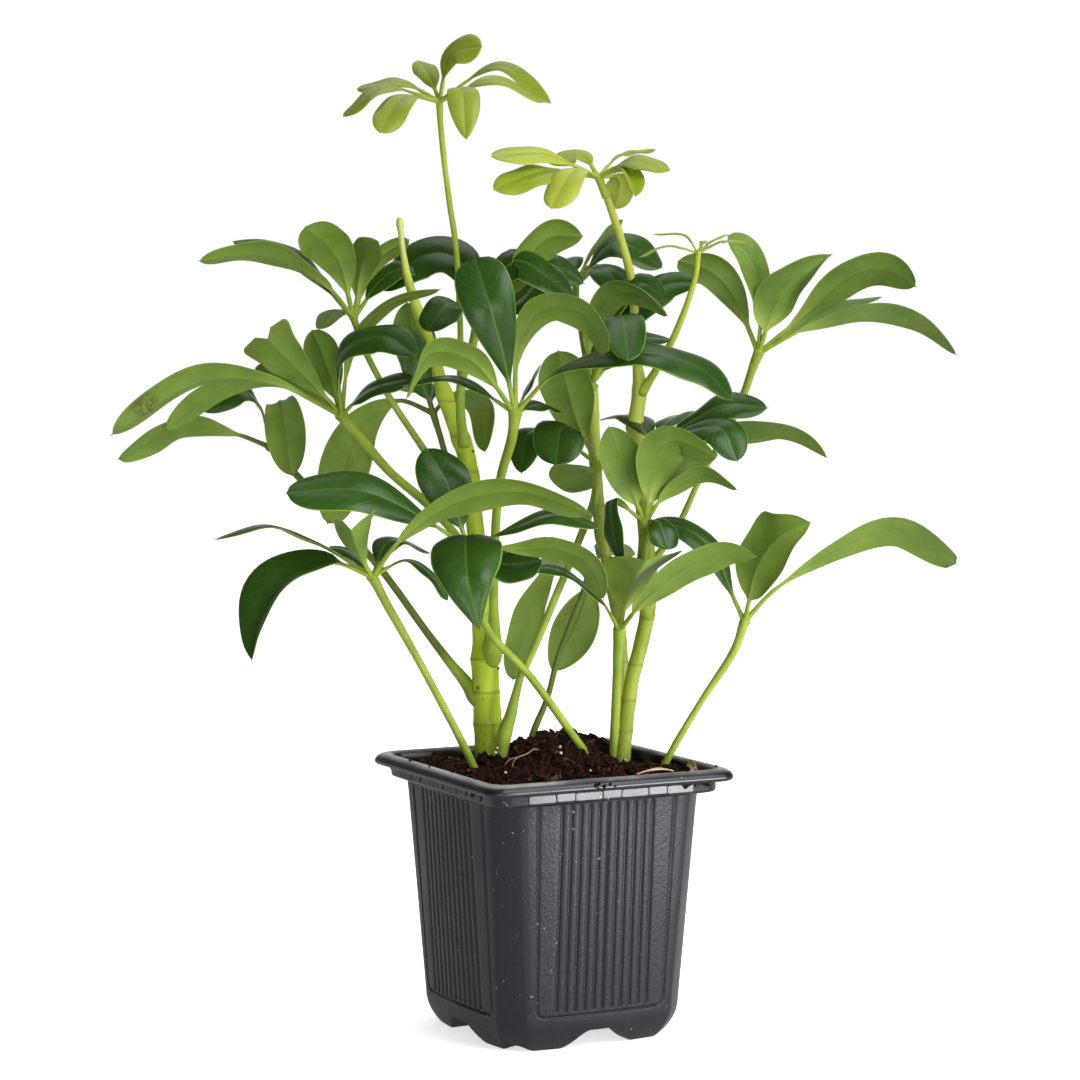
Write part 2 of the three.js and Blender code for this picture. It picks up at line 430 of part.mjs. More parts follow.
function makePot() {
  let pot = toSolid(potOutside()).subtract(toSolid(potInside(0, FLOOR_TOP, POT_HEIGHT + 1)));
  const recess = skin([
    potRing(RECESS_HALF, BODY_CHAMFER, -1, 0),
    potRing(RECESS_HALF, BODY_CHAMFER, FLOOR_UNDERSIDE, 0),
  ]);
  const cutters = [recess];
  const grooves = [-PANEL_HALF, PANEL_HALF];
  for (let count = 0; count < GROOVES; count += 1) {
    grooves.push((count - (GROOVES - 1) / 2) * GROOVE_PITCH);
  }
  for (let side = 0; side < 4; side += 1) {
    const turn = (side * Math.PI) / 2;
    const drain = new THREE.CylinderGeometry(DRAIN_RADIUS, DRAIN_RADIUS, FLOOR_TOP, DRAIN_SIDES);
    drain.rotateX(Math.PI / 2).translate(DRAIN_OFFSET, DRAIN_OFFSET, FLOOR_TOP);
    cutters.push(drain.rotateZ(turn));
    cutters.push(skirtCutter(ARCH, SKIRT_CUT).rotateZ(turn));
    cutters.push(skirtCutter(NOTCH, NOTCH_START).rotateZ(turn + Math.PI / 4));
    for (const along of grooves) cutters.push(grooveCutter(along).rotateZ(turn));
  }
  for (const cutter of cutters) pot = pot.subtract(toSolid(cutter));
  return toGeometry(pot);
}

// Rings square to a path, from points that each hold a place and a radius.
function tubeRings(path, sides, grow = 0) {
  const curve = new THREE.CatmullRomCurve3(path.map(([x, y, z]) => new THREE.Vector3(x, y, z)));
  return path.map(([, , , radius], row) => {
    const share = row / (path.length - 1);
    const centre = curve.getPoint(share);
    const ahead = curve.getTangent(share);
    const right = new THREE.Vector3(0, 1, 0).cross(ahead).normalize();
    const over = new THREE.Vector3().crossVectors(ahead, right);
    return Array.from({ length: sides }, (_, side) => {
      const angle = (2 * Math.PI * side) / sides;
      return centre.clone()
        .addScaledVector(right, (radius + grow) * Math.cos(angle))
        .addScaledVector(over, (radius + grow) * Math.sin(angle));
    });
  });
}

function tube(path, sides) {
  return skin(tubeRings(path, sides));
}

// The midrib as a smooth line, with the upper side's direction carried along it.
function bladeFrames(hub, points, face, places) {
  const start = vector(hub);
  const knots = [start, ...points.map((point) => vector(point).add(start))];
  const curve = new THREE.CatmullRomCurve3(knots, false, 'centripetal');
  const frames = places.map((place) => ({ at: curve.getPointAt(place), ahead: curve.getTangentAt(place) }));
  const middle = Math.floor(places.length / 2);
  const square = (direction, ahead) =>
    direction.clone().addScaledVector(ahead, -direction.dot(ahead)).normalize();
  frames[middle].up = square(vector(face), frames[middle].ahead);
  for (let row = middle + 1; row < frames.length; row += 1) {
    frames[row].up = square(frames[row - 1].up, frames[row].ahead);
  }
  for (let row = middle - 1; row >= 0; row -= 1) {
    frames[row].up = square(frames[row + 1].up, frames[row].ahead);
  }
  return frames;
}

// A leaflet as one thin folded blade that narrows into its own little stalk.
function leaflet(hub, { points, width, face, fold }) {
  const stations = [
    [0, STALK_WIDTH, STALK_DEPTH, 0],
    [STALK_END, STALK_WIDTH, STALK_DEPTH, 0],
    ...OUTLINE.map(([place, share]) => [place, share * width, BLADE_THICKNESS, fold]),
    [1, TIP_WIDTH, BLADE_THICKNESS, 0],
  ];
  const frames = bladeFrames(hub, points, face, stations.map(([place]) => place));
  const rings = frames.map(({ at, ahead, up }, row) => {
    const [, wide, deep, bend] = stations[row];
    const side = new THREE.Vector3().crossVectors(up, ahead);
    const angle = THREE.MathUtils.degToRad(bend);
    const reach = (wide / 2) * Math.cos(angle);
    const rise = (wide / 2) * Math.sin(angle);
    const place = (across, lift) =>
      at.clone().addScaledVector(side, across).addScaledVector(up, lift);
    const half = deep / 2;
    return [
      place(0, half), place(-reach, rise + half), place(-reach, rise - half),
      place(0, -half), place(reach, rise - half), place(reach, rise + half),
    ];
  });
  return skin(rings, new Set([2, 5]));
}

// The same tube a little wider and longer, which leaves a plain clearance where it is cut away.
function clearance(path, sides) {
  const rings = tubeRings(path, sides, GAP);
  for (const [end, inner] of [[0, 1], [rings.length - 1, rings.length - 2]]) {
    const outwards = rings[end][0].clone().sub(rings[inner][0]).setLength(GAP);
    for (const point of rings[end]) point.add(outwards);
  }
  return toSolid(skin(rings));
}

const plantTurn = new THREE.Matrix4().makeRotationZ(THREE.MathUtils.degToRad(PLANT_TURN));
const stemClearance = joinAll(Object.values(STEMS).map((path) => clearance(path, STEM_SIDES)));

function stalkPath({ hub, stalk }) {
  return [[...hub, stalk[0][3]], ...stalk];
}

function makeFrond({ hub, stalk, leaflets }) {
  const knot = new THREE.IcosahedronGeometry(stalk[0][3] + 0.6, 0).translate(...hub);
  const stem = tube(stalkPath({ hub, stalk }), STALK_SIDES);
  const pieces = [knot, stem, ...leaflets.map((shape) => leaflet(hub, shape))];
  return joinAll(pieces.map(toSolid)).subtract(stemClearance);
}

// The soil's top: level at the edge, mounded towards the middle and a little lumpy.
function soilHeight(x, y) {
  const away = ((x - MOUND_MIDDLE[0]) ** 2 + (y - MOUND_MIDDLE[1]) ** 2) / MOUND_SPREAD ** 2;
  const lumps = Math.sin((2 * Math.PI * x) / LUMP_PITCH) * Math.cos((2 * Math.PI * y) / LUMP_PITCH);
  return SOIL_EDGE_HEIGHT + MOUND_HEIGHT * Math.exp(-away) + LUMP_HEIGHT * lumps;
}

function makeSoil(rooted) {
  const filling = toSolid(potInside(GAP, FLOOR_TOP + GAP, POT_HEIGHT + MOUND_HEIGHT));
  const ground = new THREE.BoxGeometry(2 * RIM_HALF, 2 * RIM_HALF, 1, SOIL_STEPS, SOIL_STEPS, 1);
  const place = ground.attributes.position;
  for (let corner = 0; corner < place.count; corner += 1) {
    const height = soilHeight(place.getX(corner), place.getY(corner));
    place.setZ(corner, place.getZ(corner) > 0 ? height : 0);
  }
  let soil = filling.intersect(toSolid(ground));
  for (const { path, sides } of rooted) {
    soil = soil.subtract(clearance(path, sides).transform(plantTurn.elements));
  }
  return soil;
}

const plant = new THREE.Group();
plant.rotation.z = THREE.MathUtils.degToRad(PLANT_TURN);

function addMesh(parent, name, geometry, colour, roughness) {
  const material = new THREE.MeshStandardMaterial({ color: colour, roughness, metalness: 0 });
  const mesh = new THREE.Mesh(geometry, material);
  mesh.name = name;
  parent.add(mesh);
}

const umbrellaPlant = new THREE.Group();
addMesh(umbrellaPlant, 'pot', makePot(), 0x2c2e33, 0.45);
const rooted = [
  ...Object.values(STEMS).map((path) => ({ path, sides: STEM_SIDES })),
  ...FRONDS.map((shape) => ({ path: stalkPath(shape), sides: STALK_SIDES })),
].filter(({ path }) => Math.min(...path.map(([, , z]) => z)) < SOIL_EDGE_HEIGHT);
addMesh(umbrellaPlant, 'soil', toGeometry(makeSoil(rooted)), 0x33221a, 0.95);
for (const [name, path] of Object.entries(STEMS)) {
  addMesh(plant, name, tube(path, STEM_SIDES), STEM_COLOURS[name], 0.5);
}
for (const shape of FRONDS) {
  const colour = YOUNG.has(shape.name) ? 0x7f9e3a : 0x3c6424;
  addMesh(plant, shape.name, toGeometry(makeFrond(shape)), colour, 0.35);
}
umbrellaPlant.add(plant);

export default umbrellaPlant;
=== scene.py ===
# A young umbrella plant in a square nursery pot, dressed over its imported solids. Metres, +Z up.
import math

import bmesh
import bpy
import numpy as np
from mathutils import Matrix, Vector, noise


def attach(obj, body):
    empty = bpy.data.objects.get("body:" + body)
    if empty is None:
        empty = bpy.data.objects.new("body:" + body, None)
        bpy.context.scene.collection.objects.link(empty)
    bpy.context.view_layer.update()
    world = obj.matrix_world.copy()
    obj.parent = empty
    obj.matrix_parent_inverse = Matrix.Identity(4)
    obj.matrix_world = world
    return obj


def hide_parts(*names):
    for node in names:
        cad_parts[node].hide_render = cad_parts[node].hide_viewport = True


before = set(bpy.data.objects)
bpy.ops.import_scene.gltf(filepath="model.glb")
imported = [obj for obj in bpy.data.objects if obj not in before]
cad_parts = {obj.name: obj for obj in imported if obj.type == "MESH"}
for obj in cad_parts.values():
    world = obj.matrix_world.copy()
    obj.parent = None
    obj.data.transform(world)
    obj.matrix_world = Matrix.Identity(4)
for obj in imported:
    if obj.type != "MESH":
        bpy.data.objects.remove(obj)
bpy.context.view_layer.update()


# The studio: a long lens a little above the pot's rim, a white floor, a large soft key from the
# upper right, low lights from the right and the front, and a white wall far behind.
# The plant is seen from 28 degrees to the left of the pot's front.
TURN = math.radians(-28)
CAMERA_TILT = math.radians(3.57)
CAMERA_AT = (-0.5153, -0.9605, 0.247)


def put(name, data):
    """A new object in the scene."""
    thing = bpy.data.objects.new(name, data)
    bpy.context.scene.collection.objects.link(thing)
    return thing


camera_data = bpy.data.cameras.new("camera")
camera_data.lens = 100
camera_data.sensor_width = 36
camera_data.clip_end = 30
camera = put("camera", camera_data)
camera.location = CAMERA_AT
camera.rotation_euler = (math.pi / 2 - CAMERA_TILT, 0, TURN)
bpy.context.scene.camera = camera
bpy.context.scene.view_settings.view_transform = "Standard"


def from_view(points):
    """Places as seen from the plant's front (right, away, up, in mm), put in the row frame in metres."""
    c, s = math.cos(TURN), math.sin(TURN)
    x, y, z = np.moveaxis(np.asarray(points, float), -1, 0)
    return np.stack([x * c - y * s, x * s + y * c, z], -1) / 1000


def softbox(name, place, size, watts, colour, target=(0, 0, 0.19), spread=180):
    data = bpy.data.lights.new(name, "AREA")
    data.shape = "RECTANGLE"
    data.size, data.size_y = size
    data.energy = watts
    data.spread = math.radians(spread)
    data.color = colour
    lamp = put(name, data)
    lamp.location = from_view(place)
    aim = Vector(target) - lamp.location
    lamp.rotation_euler = aim.to_track_quat("-Z", "Y").to_euler()


softbox("key_light", (750, -620, 1080), (0.8, 0.7), 11.5, (1, 0.99, 0.97))
softbox("side_light", (1000, -600, 420), (0.45, 0.85), 4.7, (1, 0.98, 0.98), (0, 0, 0.2))
softbox("low_card", (370, -235, 50), (0.22, 0.085), 0.12, (1, 0.97, 0.98), (0.03, -0.04, 0.07), 46)
softbox("front_light", (150, -1250, 220), (0.8, 0.4), 5.4, (1, 0.99, 0.97))
softbox("top_light", (-100, 350, 1300), (0.9, 0.7), 4, (1, 1, 1))


class Wire:
    """What comes out of a node. Sums written with it become Math nodes."""

    def __init__(self, nodes, socket):
        self.nodes, self.socket = nodes, socket

    def __add__(self, other):
        return self.nodes.math("ADD", self, other)

    def __sub__(self, other):
        return self.nodes.math("SUBTRACT", self, other)

    def __rsub__(self, other):
        return self.nodes.math("SUBTRACT", other, self)

    def __mul__(self, other):
        return self.nodes.math("MULTIPLY", self, other)

    def __pow__(self, other):
        return self.nodes.math("POWER", self, other)

    def __abs__(self):
        return self.nodes.math("ABSOLUTE", self)


class Nodes:
    """A node tree with short calls for making nodes and feeding their sockets."""

    def __init__(self, tree):
        self.tree = tree

    def feed(self, socket, value):
        if isinstance(value, Wire):
            self.tree.links.new(value.socket, socket)
        else:
            socket.default_value = value

    def node(self, kind, inputs=None, out=0, **settings):
        """Makes a node, feeds it and gives one output, by its place or its name."""
        made = self.tree.nodes.new(kind)
        for key, value in settings.items():
            setattr(made, key, value)
        for key, value in (inputs or {}).items():
            self.feed(made.inputs[key], value)
        return Wire(self, made.outputs[out]) if made.outputs else None

    def math(self, operation, a, b=0.0):
        return self.node("ShaderNodeMath", {0: a, 1: b}, operation=operation)

    def range(self, value, low, high, out_low=0.0, out_high=1.0, ramp="SMOOTHSTEP"):
        return self.node("ShaderNodeMapRange", {
            "Value": value, "From Min": low, "From Max": high, "To Min": out_low, "To Max": out_high,
        }, "Result", interpolation_type=ramp)


class Shader(Nodes):
    """One procedural material on a Principled surface."""

    def __init__(self, name):
        self.material = bpy.data.materials.new(name)
        self.material.use_nodes = True
        super().__init__(self.material.node_tree)

    def place(self):
        return self.node("ShaderNodeTexCoord", out="Object")

    def axis(self, name):
        return self.node("ShaderNodeSeparateXYZ", {0: self.place()}, name)

    def attribute(self, name):
        return self.node("ShaderNodeAttribute", out="Fac", attribute_name=name)

    def noise(self, scale, detail=3, rough=0.5, vector=None):
        return self.node("ShaderNodeTexNoise", {
            "Vector": vector or self.place(), "Scale": scale, "Detail": detail, "Roughness": rough}, "Fac")

    def drawn_out(self, *scale):
        """Places squeezed along one axis, so that a noise on them is drawn out along it."""
        return self.node("ShaderNodeMapping", {"Vector": self.place(), "Scale": scale})

    def mix(self, factor, a, b):
        a, b = ((*value, 1) if isinstance(value, tuple) else value for value in (a, b))
        return self.node("ShaderNodeMix", {"Factor": factor, 6: a, 7: b}, 2, data_type="RGBA")

    def bump(self, height, distance, strength=1.0):
        return self.node("ShaderNodeBump", {"Height": height, "Distance": distance, "Strength": strength})

    def finish(self, **inputs):
        for key, value in inputs.items():
            socket = self.tree.nodes["Principled BSDF"].inputs[key.replace("_", " ")]
            self.feed(socket, (*value, 1) if isinstance(value, tuple) and socket.type == "RGBA" else value)
        return self.material


# The wall behind is white to the eye; the rest of the room is dim, and so mirrored dimly.
WALL_LIGHT, ROOM_LIGHT = 1.0, 0.1
world = bpy.data.worlds.new("white_room")
world.use_nodes = True
room = Nodes(world.node_tree)
facing_wall = room.node("ShaderNodeVectorMath", {
    0: room.node("ShaderNodeTexCoord", out="Generated"), 1: (-math.sin(TURN), math.cos(TURN), 0),
}, "Value", operation="DOT_PRODUCT")
wall = room.range(facing_wall, 0.58, 0.92, ROOM_LIGHT, WALL_LIGHT, "LINEAR")
seen = room.node("ShaderNodeLightPath", out="Is Camera Ray")
background = world.node_tree.nodes["Background"]
room.feed(background.inputs["Strength"], room.math("MAXIMUM", seen, wall))
room.feed(background.inputs["Color"], (1, 1, 1, 1))
bpy.context.scene.world = world

# Away from the pot the floor's paper runs into the white wall without a line.
floor_mesh = bpy.data.meshes.new("floor")
floor_mesh.from_pydata([(-6, -6, 0), (6, -6, 0), (6, 6, 0), (-6, 6, 0)], [], [(0, 1, 2, 3)])
paper = Shader("white_paper")
far = paper.node("ShaderNodeVectorMath", {0: paper.place()}, "Value", operation="LENGTH")
seen = paper.node("ShaderNodeLightPath", out="Is Camera Ray")
floor_mesh.materials.append(paper.finish(
    Base_Color=(0.9, 0.9, 0.9), Roughness=0.9, Specular_IOR_Level=0.1, Emission_Color=(1, 1, 1),
    Emission_Strength=paper.math("MAXIMUM", paper.range(far, 0.04, 0.1, 0.66, 1.0, "LINEAR") * seen, 0.2),
))
floor = put("floor", floor_mesh)


# The square nursery pot: one injection moulding of dark bluish-grey polypropylene with a satin,
# slightly grained face, a ribbed panel on each side, tall cut corners, an arched skirt that
# stands on eight feet, and a rounded lip. All sizes in mm.
BODY_FOOT_HALF, BODY_TAPER = 36.2, 0.064
FOOT_TUCK, TUCK_HIGH = 3.6, 11
CORNER_CUT = 8
SIDE_BOW = 1.8
WALL = 1.3
RIB_PITCH, RIB_LINES, PANEL_HALF = 3.66, 11, 25.6
RIB_DEEP, RIB_WIDE, LINE_DEEP, LINE_WIDE = 0.75, 0.95, 0.6, 0.7
PANEL_FOOT, PANEL_TOP, PANEL_CORNER = 12.6, 90.4, 3
RIB_PLACES = [RIB_PITCH * (n - (RIB_LINES - 1) / 2) for n in range(RIB_LINES)]
ARCH_HIGH, ARCH_FLAT, ARCH_SIDE, NOTCH_HIGH, SKIRT_HIGH = 6.4, 4, 11, 2, 9
RIM_SAG, RIM_LEAN = 1.5, 0.5
# Points further than this from a side's middle slide with the corner.
FIXED_HALF = 23


def ease(x):
    x = np.clip(x, 0, 1)
    return x * x * (3 - 2 * x)


def side_places():
    """Places along one side from corner to corner, close together at each moulded line."""
    places = {0.0}
    for line in RIB_PLACES + [-PANEL_HALF, PANEL_HALF]:
        places.update(round(line + step, 3) for step in (-1, -0.7, -0.45, -0.2, 0.2, 0.45, 0.7, 1))
    places.update(round(line + RIB_PITCH / 2, 3) for line in RIB_PLACES[:-1])
    for value in (21, 22.4, 23.1, 23.8, 24.3, 27.4, 29):
        places.update((-value, value))
    return sorted(places)


SIDE_PLACES = side_places()


def groove(distance, wide):
    return ease(1 - abs(distance) / wide)


def panel_depth(along, z):
    """How deep the moulded lines of a side are cut: the ribs, and the line round their panel."""
    below_top = ease((PANEL_TOP - z) / 0.8)
    inside = ease((z - PANEL_FOOT - 1.0) / 0.8) * below_top
    ribs = max(groove(along - line, RIB_WIDE) for line in RIB_PLACES)
    across = abs(along) - (PANEL_HALF - PANEL_CORNER)
    down = PANEL_FOOT + PANEL_CORNER - z
    edge = math.hypot(across, down) if across > 0 and down > 0 else max(across, down)
    return max(RIB_DEEP * inside * ribs, LINE_DEEP * below_top * groove(edge - PANEL_CORNER, LINE_WIDE))


def outline(half_at, cut, roundness, z, bow=0.0, lines=False, skirt=False):
    """One closed ring of the pot, whose half width depends on each point's own height."""
    ring = []
    for side in range(4):
        c, s = math.cos(side * math.pi / 2), math.sin(side * math.pi / 2)
        for n, along in enumerate(SIDE_PLACES + [step / 8 for step in range(1, 8)]):
            on_side = n < len(SIDE_PLACES)
            height = z
            if skirt:
                lift = NOTCH_HIGH * math.sin(math.pi * along) ** 2
                if on_side:
                    lift = ARCH_HIGH * (1 - ease((abs(along) - ARCH_FLAT) / ARCH_SIDE))
                height += lift * max(0.0, 1 - z / SKIRT_HIGH)
            half = half_at(height)
            reach = half - cut
            if on_side:
                stretch = (reach - FIXED_HALF) / (SIDE_PLACES[-1] - FIXED_HALF)
                past = abs(along) - FIXED_HALF
                x = along if past < 0 else math.copysign(FIXED_HALF + past * stretch, along)
                out = half + bow * (1 - (x / reach) ** 2)
                if lines:
                    out -= panel_depth(along, height)
            else:
                angle = along * math.pi / 2
                x = reach + cut * (along * (1 - roundness) + math.sin(angle) * roundness)
                out = half - cut * (along * (1 - roundness) + (1 - math.cos(angle)) * roundness)
            ring.append((x * c + out * s, x * s - out * c, height))
    return ring


def body_ring(z, inset=0.0, **how):
    def half_at(height):
        tuck = FOOT_TUCK * (1 - height / TUCK_HIGH) ** 2.2 if height < TUCK_HIGH else 0.0
        return BODY_FOOT_HALF + BODY_TAPER * height - tuck - inset
    return outline(half_at, CORNER_CUT, 0.12, z, SIDE_BOW, **how)


def skin(rows, count):
    """Faces between rows of count points each, and a cap at each end."""
    faces = [(row * count + n, row * count + (n + 1) % count,
              (row + 1) * count + (n + 1) % count, (row + 1) * count + n)
             for row in range(rows - 1) for n in range(count)]
    return faces + [tuple(reversed(range(count))), tuple(range((rows - 1) * count, rows * count))]


rings = [outline(lambda height: 27.0, CORNER_CUT, 0, 6.6)]
rings += [outline(lambda height, half=half: half, CORNER_CUT, 0, z, skirt=z < 6)
          for half, z in ((27, 6.5), (27.05, 3), (27.1, 0.4), (27.4, 0.08), (27.9, 0))]
rings += [body_ring(z, inset, skirt=True) for z, inset in (
    (0, 0.6), (0.03, 0.25), (0.2, 0.05), (0.5, 0), (1, 0), (2, 0), (3.4, 0), (5, 0), (6.8, 0), (8.2, 0))]
rings += [body_ring(z, lines=True) for z in (
    9.4, 10.6, 11.5, 12, 12.3, 12.6, 12.9, 13.2, 13.6, 14, 14.4, 14.9, 15.4, 16.2, 18,
    *np.linspace(23, 80, 11), 84, 87, 89, 89.8, 90.2, 90.6)]
rings += [outline(lambda height, half=half: half, 6, 1, z) for half, z in (
    (43.9, 91.2), (44.5, 91.35), (45, 91.6), (45.3, 92), (45.4, 92.5),
    (45.4, 94.9), (45.5, 95.3), (46, 95.55), (47.8, 95.6), (48.9, 95.65), (49.6, 95.9), (49.93, 96.4),
    (50, 97), (49.93, 97.6), (49.7, 98.2), (49.3, 98.75), (48.8, 99.25), (48.2, 99.6), (47.5, 99.87),
    (46.8, 100), (46.1, 99.9), (45.6, 99.6), (45.1, 99.1), (44.8, 98.4), (44.65, 97.4), (44.5, 95.5),
    (44.4, 93.6), (44.1, 92.9), (43.4, 92.6), (42.4, 92.4), (41.2, 92))]
rings += [body_ring(z, inset) for z, inset in (
    (90.5, WALL), (80, WALL), (50, WALL), (20, WALL), (12, WALL), (9, WALL), (8.2, 2), (8, 3.6))]


def sagged(verts):
    """The soft rim has sunk a little, more at the front than at the back."""
    sunk = np.array(verts, float)
    sunk[:, 2] -= (RIM_SAG - RIM_LEAN * sunk[:, 1] / 50) * ease((sunk[:, 2] - 84) / 8)
    return sunk


# The sides are finely grained; the band and the lip above them are smooth and shinier, and the
# lip's top is painted light grey in patches: partly scuffs, partly a painted highlight along its edge.
plastic = Shader("moulded_plastic")
mottle = plastic.noise(38, 4, 0.6)
height = plastic.axis("Z")
smooth_top = plastic.range(height, 0.0895, 0.0905)
lip_height = height - plastic.axis("Y") * (RIM_LEAN / 50)
# Light grey on the lip's top edge: scuff patches and a painted highlight.
scuff_and_highlight = plastic.range(lip_height, 0.0971, 0.0983) * plastic.range(mottle, 0.35, 0.65, 0.25, 1)
white_specks = plastic.range(plastic.noise(520, 3, 0.6), 0.7, 0.73)
brown_specks = plastic.range(plastic.noise(290, 4, 0.7), 0.71, 0.74)
tone = plastic.mix(mottle, (0.007, 0.0082, 0.0128), (0.012, 0.0132, 0.0195))
scuffed_and_highlit = plastic.mix(scuff_and_highlight, tone, (0.36, 0.365, 0.37))
dusted = plastic.mix(brown_specks * 0.6, scuffed_and_highlit, (0.2, 0.1, 0.055))
pot_plastic = plastic.finish(
    Base_Color=plastic.mix(white_specks * 0.6, dusted, (0.55, 0.53, 0.5)),
    Roughness=plastic.range(smooth_top, 0, 1, 0.38, 0.24) + plastic.range(mottle, 0.3, 0.7, -0.03, 0.05),
    Specular_IOR_Level=0.33,
    Normal=plastic.bump(plastic.noise(760, 3, 0.65) * (1.0 - smooth_top), 0.0005, 0.38),
)


def add_piece(name, verts, faces, material, finish, *nodes):
    """A smooth mesh at its own place, which rides on the part's one body. finish is not used."""
    mesh = bpy.data.meshes.new(name)
    mesh.from_pydata([tuple(v) for v in verts], [], faces)
    mesh.materials.append(material)
    mesh.polygons.foreach_set("use_smooth", [True] * len(mesh.polygons))
    mesh.update()
    piece = put(name, mesh)
    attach(piece, "root")
    if nodes:
        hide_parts(*nodes)
    return piece


pot_verts = sagged([point for ring in rings for point in ring]) / 1000
pot_faces = skin(len(rings), len(rings[0]))
pot = add_piece("nursery_pot", pot_verts, pot_faces, pot_plastic, "pot_plastic", "pot")

# Four drain holes go through the pot's floor, near its corners.
HOLE_PLACES, HOLE_RADIUS, FLOOR_MIDDLE = ((-14, -14), (-14, 14), (14, -14), (14, 14)), 3, 7.3
drill_mesh = bpy.data.meshes.new("drain_drill")
drill = bmesh.new()
for x, y in HOLE_PLACES:
    made = bmesh.ops.create_cone(drill, cap_ends=True, segments=32, depth=0.008,
                                 radius1=HOLE_RADIUS / 1000, radius2=HOLE_RADIUS / 1000)
    bmesh.ops.translate(drill, verts=made["verts"], vec=(x / 1000, y / 1000, FLOOR_MIDDLE / 1000))
drill.to_mesh(drill_mesh)
drill.free()
drain_drill = put("drain_drill", drill_mesh)
cut = pot.modifiers.new("drain_holes", "BOOLEAN")
cut.operation, cut.solver, cut.object = "DIFFERENCE", "EXACT", drain_drill
pot.data = bpy.data.meshes.new_from_object(pot.evaluated_get(bpy.context.evaluated_depsgraph_get()))
pot.modifiers.clear()
pot.data.set_sharp_from_angle(angle=math.radians(35))
bpy.data.objects.remove(drain_drill)


# The band under the lip, part of the same moulding: on each side long low pads and short ones that
# reach up to the lip take turns, with thin slots between them. They part a stack of pots.
class Pattern(Nodes):
    """A Geometry Nodes tree with named sizes, run once on a small mesh to give a plain piece."""

    def __init__(self, name, sizes):
        super().__init__(bpy.data.node_groups.new(name, "GeometryNodeTree"))
        sockets = self.tree.interface
        for way in ("INPUT", "OUTPUT"):
            sockets.new_socket("Geometry", in_out=way, socket_type="NodeSocketGeometry")
        self.values = {}
        for label, value in sizes.items():
            kind = "NodeSocketInt" if isinstance(value, int) else "NodeSocketFloat"
            self.values[sockets.new_socket(label, in_out="INPUT", socket_type=kind).identifier] = value
        self.size = {out.name: Wire(self, out) for out in self.tree.nodes.new("NodeGroupInput").outputs}

    def shape(self, kind, inputs=None):
        return self.node("GeometryNode" + kind, inputs)

    def vector(self, **axes):
        return self.node("ShaderNodeCombineXYZ", axes)

    def random(self, low, high, seed, kind="FLOAT"):
        """A random number, whole number or vector for each point."""
        place = ("FLOAT_VECTOR", "FLOAT", "INT").index(kind)
        return self.node("FunctionNodeRandomValue", {2 * place: low, 2 * place + 1: high, "Seed": seed},
                         place, data_type=kind)

    def join(self, shapes):
        both = self.tree.nodes.new("GeometryNodeJoinGeometry")
        for shape in shapes:
            self.feed(both.inputs[0], shape)
        return Wire(self, both.outputs[0])

    def piece(self, name, source, shapes, material, finish):
        """Realises the shapes, runs the tree on the source mesh and keeps the plain result."""
        real = self.shape("RealizeInstances", {0: shapes})
        painted = self.shape("SetMaterial", {"Geometry": real, "Material": material})
        self.node("NodeGroupOutput", {0: painted})
        made = put(name, source)
        rule = made.modifiers.new(name, "NODES")
        rule.node_group = self.tree
        for identifier, value in self.values.items():
            rule[identifier] = value
        graph = bpy.context.evaluated_depsgraph_get()
        made.data = bpy.data.meshes.new_from_object(made.evaluated_get(graph))
        made.modifiers.clear()
        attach(made, "root")
        return made


LONG_PAD, SHORT_PAD = (10.5, 1.1, 2.6), (7.1, 1.3, 3.1)
pad_mesh = bpy.data.meshes.new("pad")
pad = bmesh.new()
bmesh.ops.create_cube(pad, size=1)
bmesh.ops.bevel(pad, geom=pad.edges, offset=0.06, segments=2, affect="EDGES", clamp_overlap=True)
pad.to_mesh(pad_mesh)
pad.free()

band = Pattern("pads_round_the_band", {
    "Pitch": 0.01855, "From the middle": 0.0453, "Long pads": 4, "Long pads height": 0.0937,
    "Short pads": 3, "Short pads height": 0.0941})
rows = []
for kind, shape in (("Long pads", LONG_PAD), ("Short pads", SHORT_PAD)):
    row_start = band.vector(X=(band.size[kind] - 1) * (band.size["Pitch"] * -0.5),
                            Y=band.size["From the middle"] * -1, Z=band.size[kind + " height"])
    row = band.shape("MeshLine", {
        "Count": band.size[kind], "Start Location": row_start, "Offset": band.vector(X=band.size["Pitch"])})
    rows.append(band.shape("InstanceOnPoints", {
        "Points": row, "Instance": band.size["Geometry"], "Scale": tuple(s / 1000 for s in shape)}))
ring = band.shape("InstanceOnPoints", {
    "Points": band.shape("MeshLine", {"Count": 4, "Offset": (0, 0, 0)}), "Instance": band.join(rows),
    "Rotation": band.vector(Z=band.shape("InputIndex") * (math.pi / 2))})
band_pads = band.piece("band_pads", pad_mesh, ring, pot_plastic, "pot_plastic")
for corner in band_pads.data.vertices:
    corner.co = sagged([corner.co * 1000])[0] / 1000


# The soil: moist dark peat and coir that fills the pot to just below the lip and is heaped towards
# the back, where the cuttings were firmed in. One lumpy closed body; its crumbs lie on it.
SOIL_EDGE = 93.6
# How high, where and how wide: two heaps that run together, and a hollow by the right wall.
HEAPS = ((9, (7, 15.5), 18), (4.6, (27, 15), 14), (-5, (40, 6), 9))
SOIL_RING_POINTS, SOIL_RING_ROWS = 264, 74


def square_ring(half, corner, z):
    """Evenly spaced points round a square with round corners."""
    straight, arc = 2 * (half - corner), math.pi * corner / 2
    ring = []
    for n in range(SOIL_RING_POINTS):
        side, run = divmod(4 * n / SOIL_RING_POINTS, 1)
        run *= straight + arc
        if run < straight:
            x, y = run - straight / 2, -half
        else:
            angle = (run - straight) / corner
            x, y = half - corner + corner * math.sin(angle), -half + corner - corner * math.cos(angle)
        c, s = math.cos(side * math.pi / 2), math.sin(side * math.pi / 2)
        ring.append((x * c - y * s, x * s + y * c, z))
    return ring


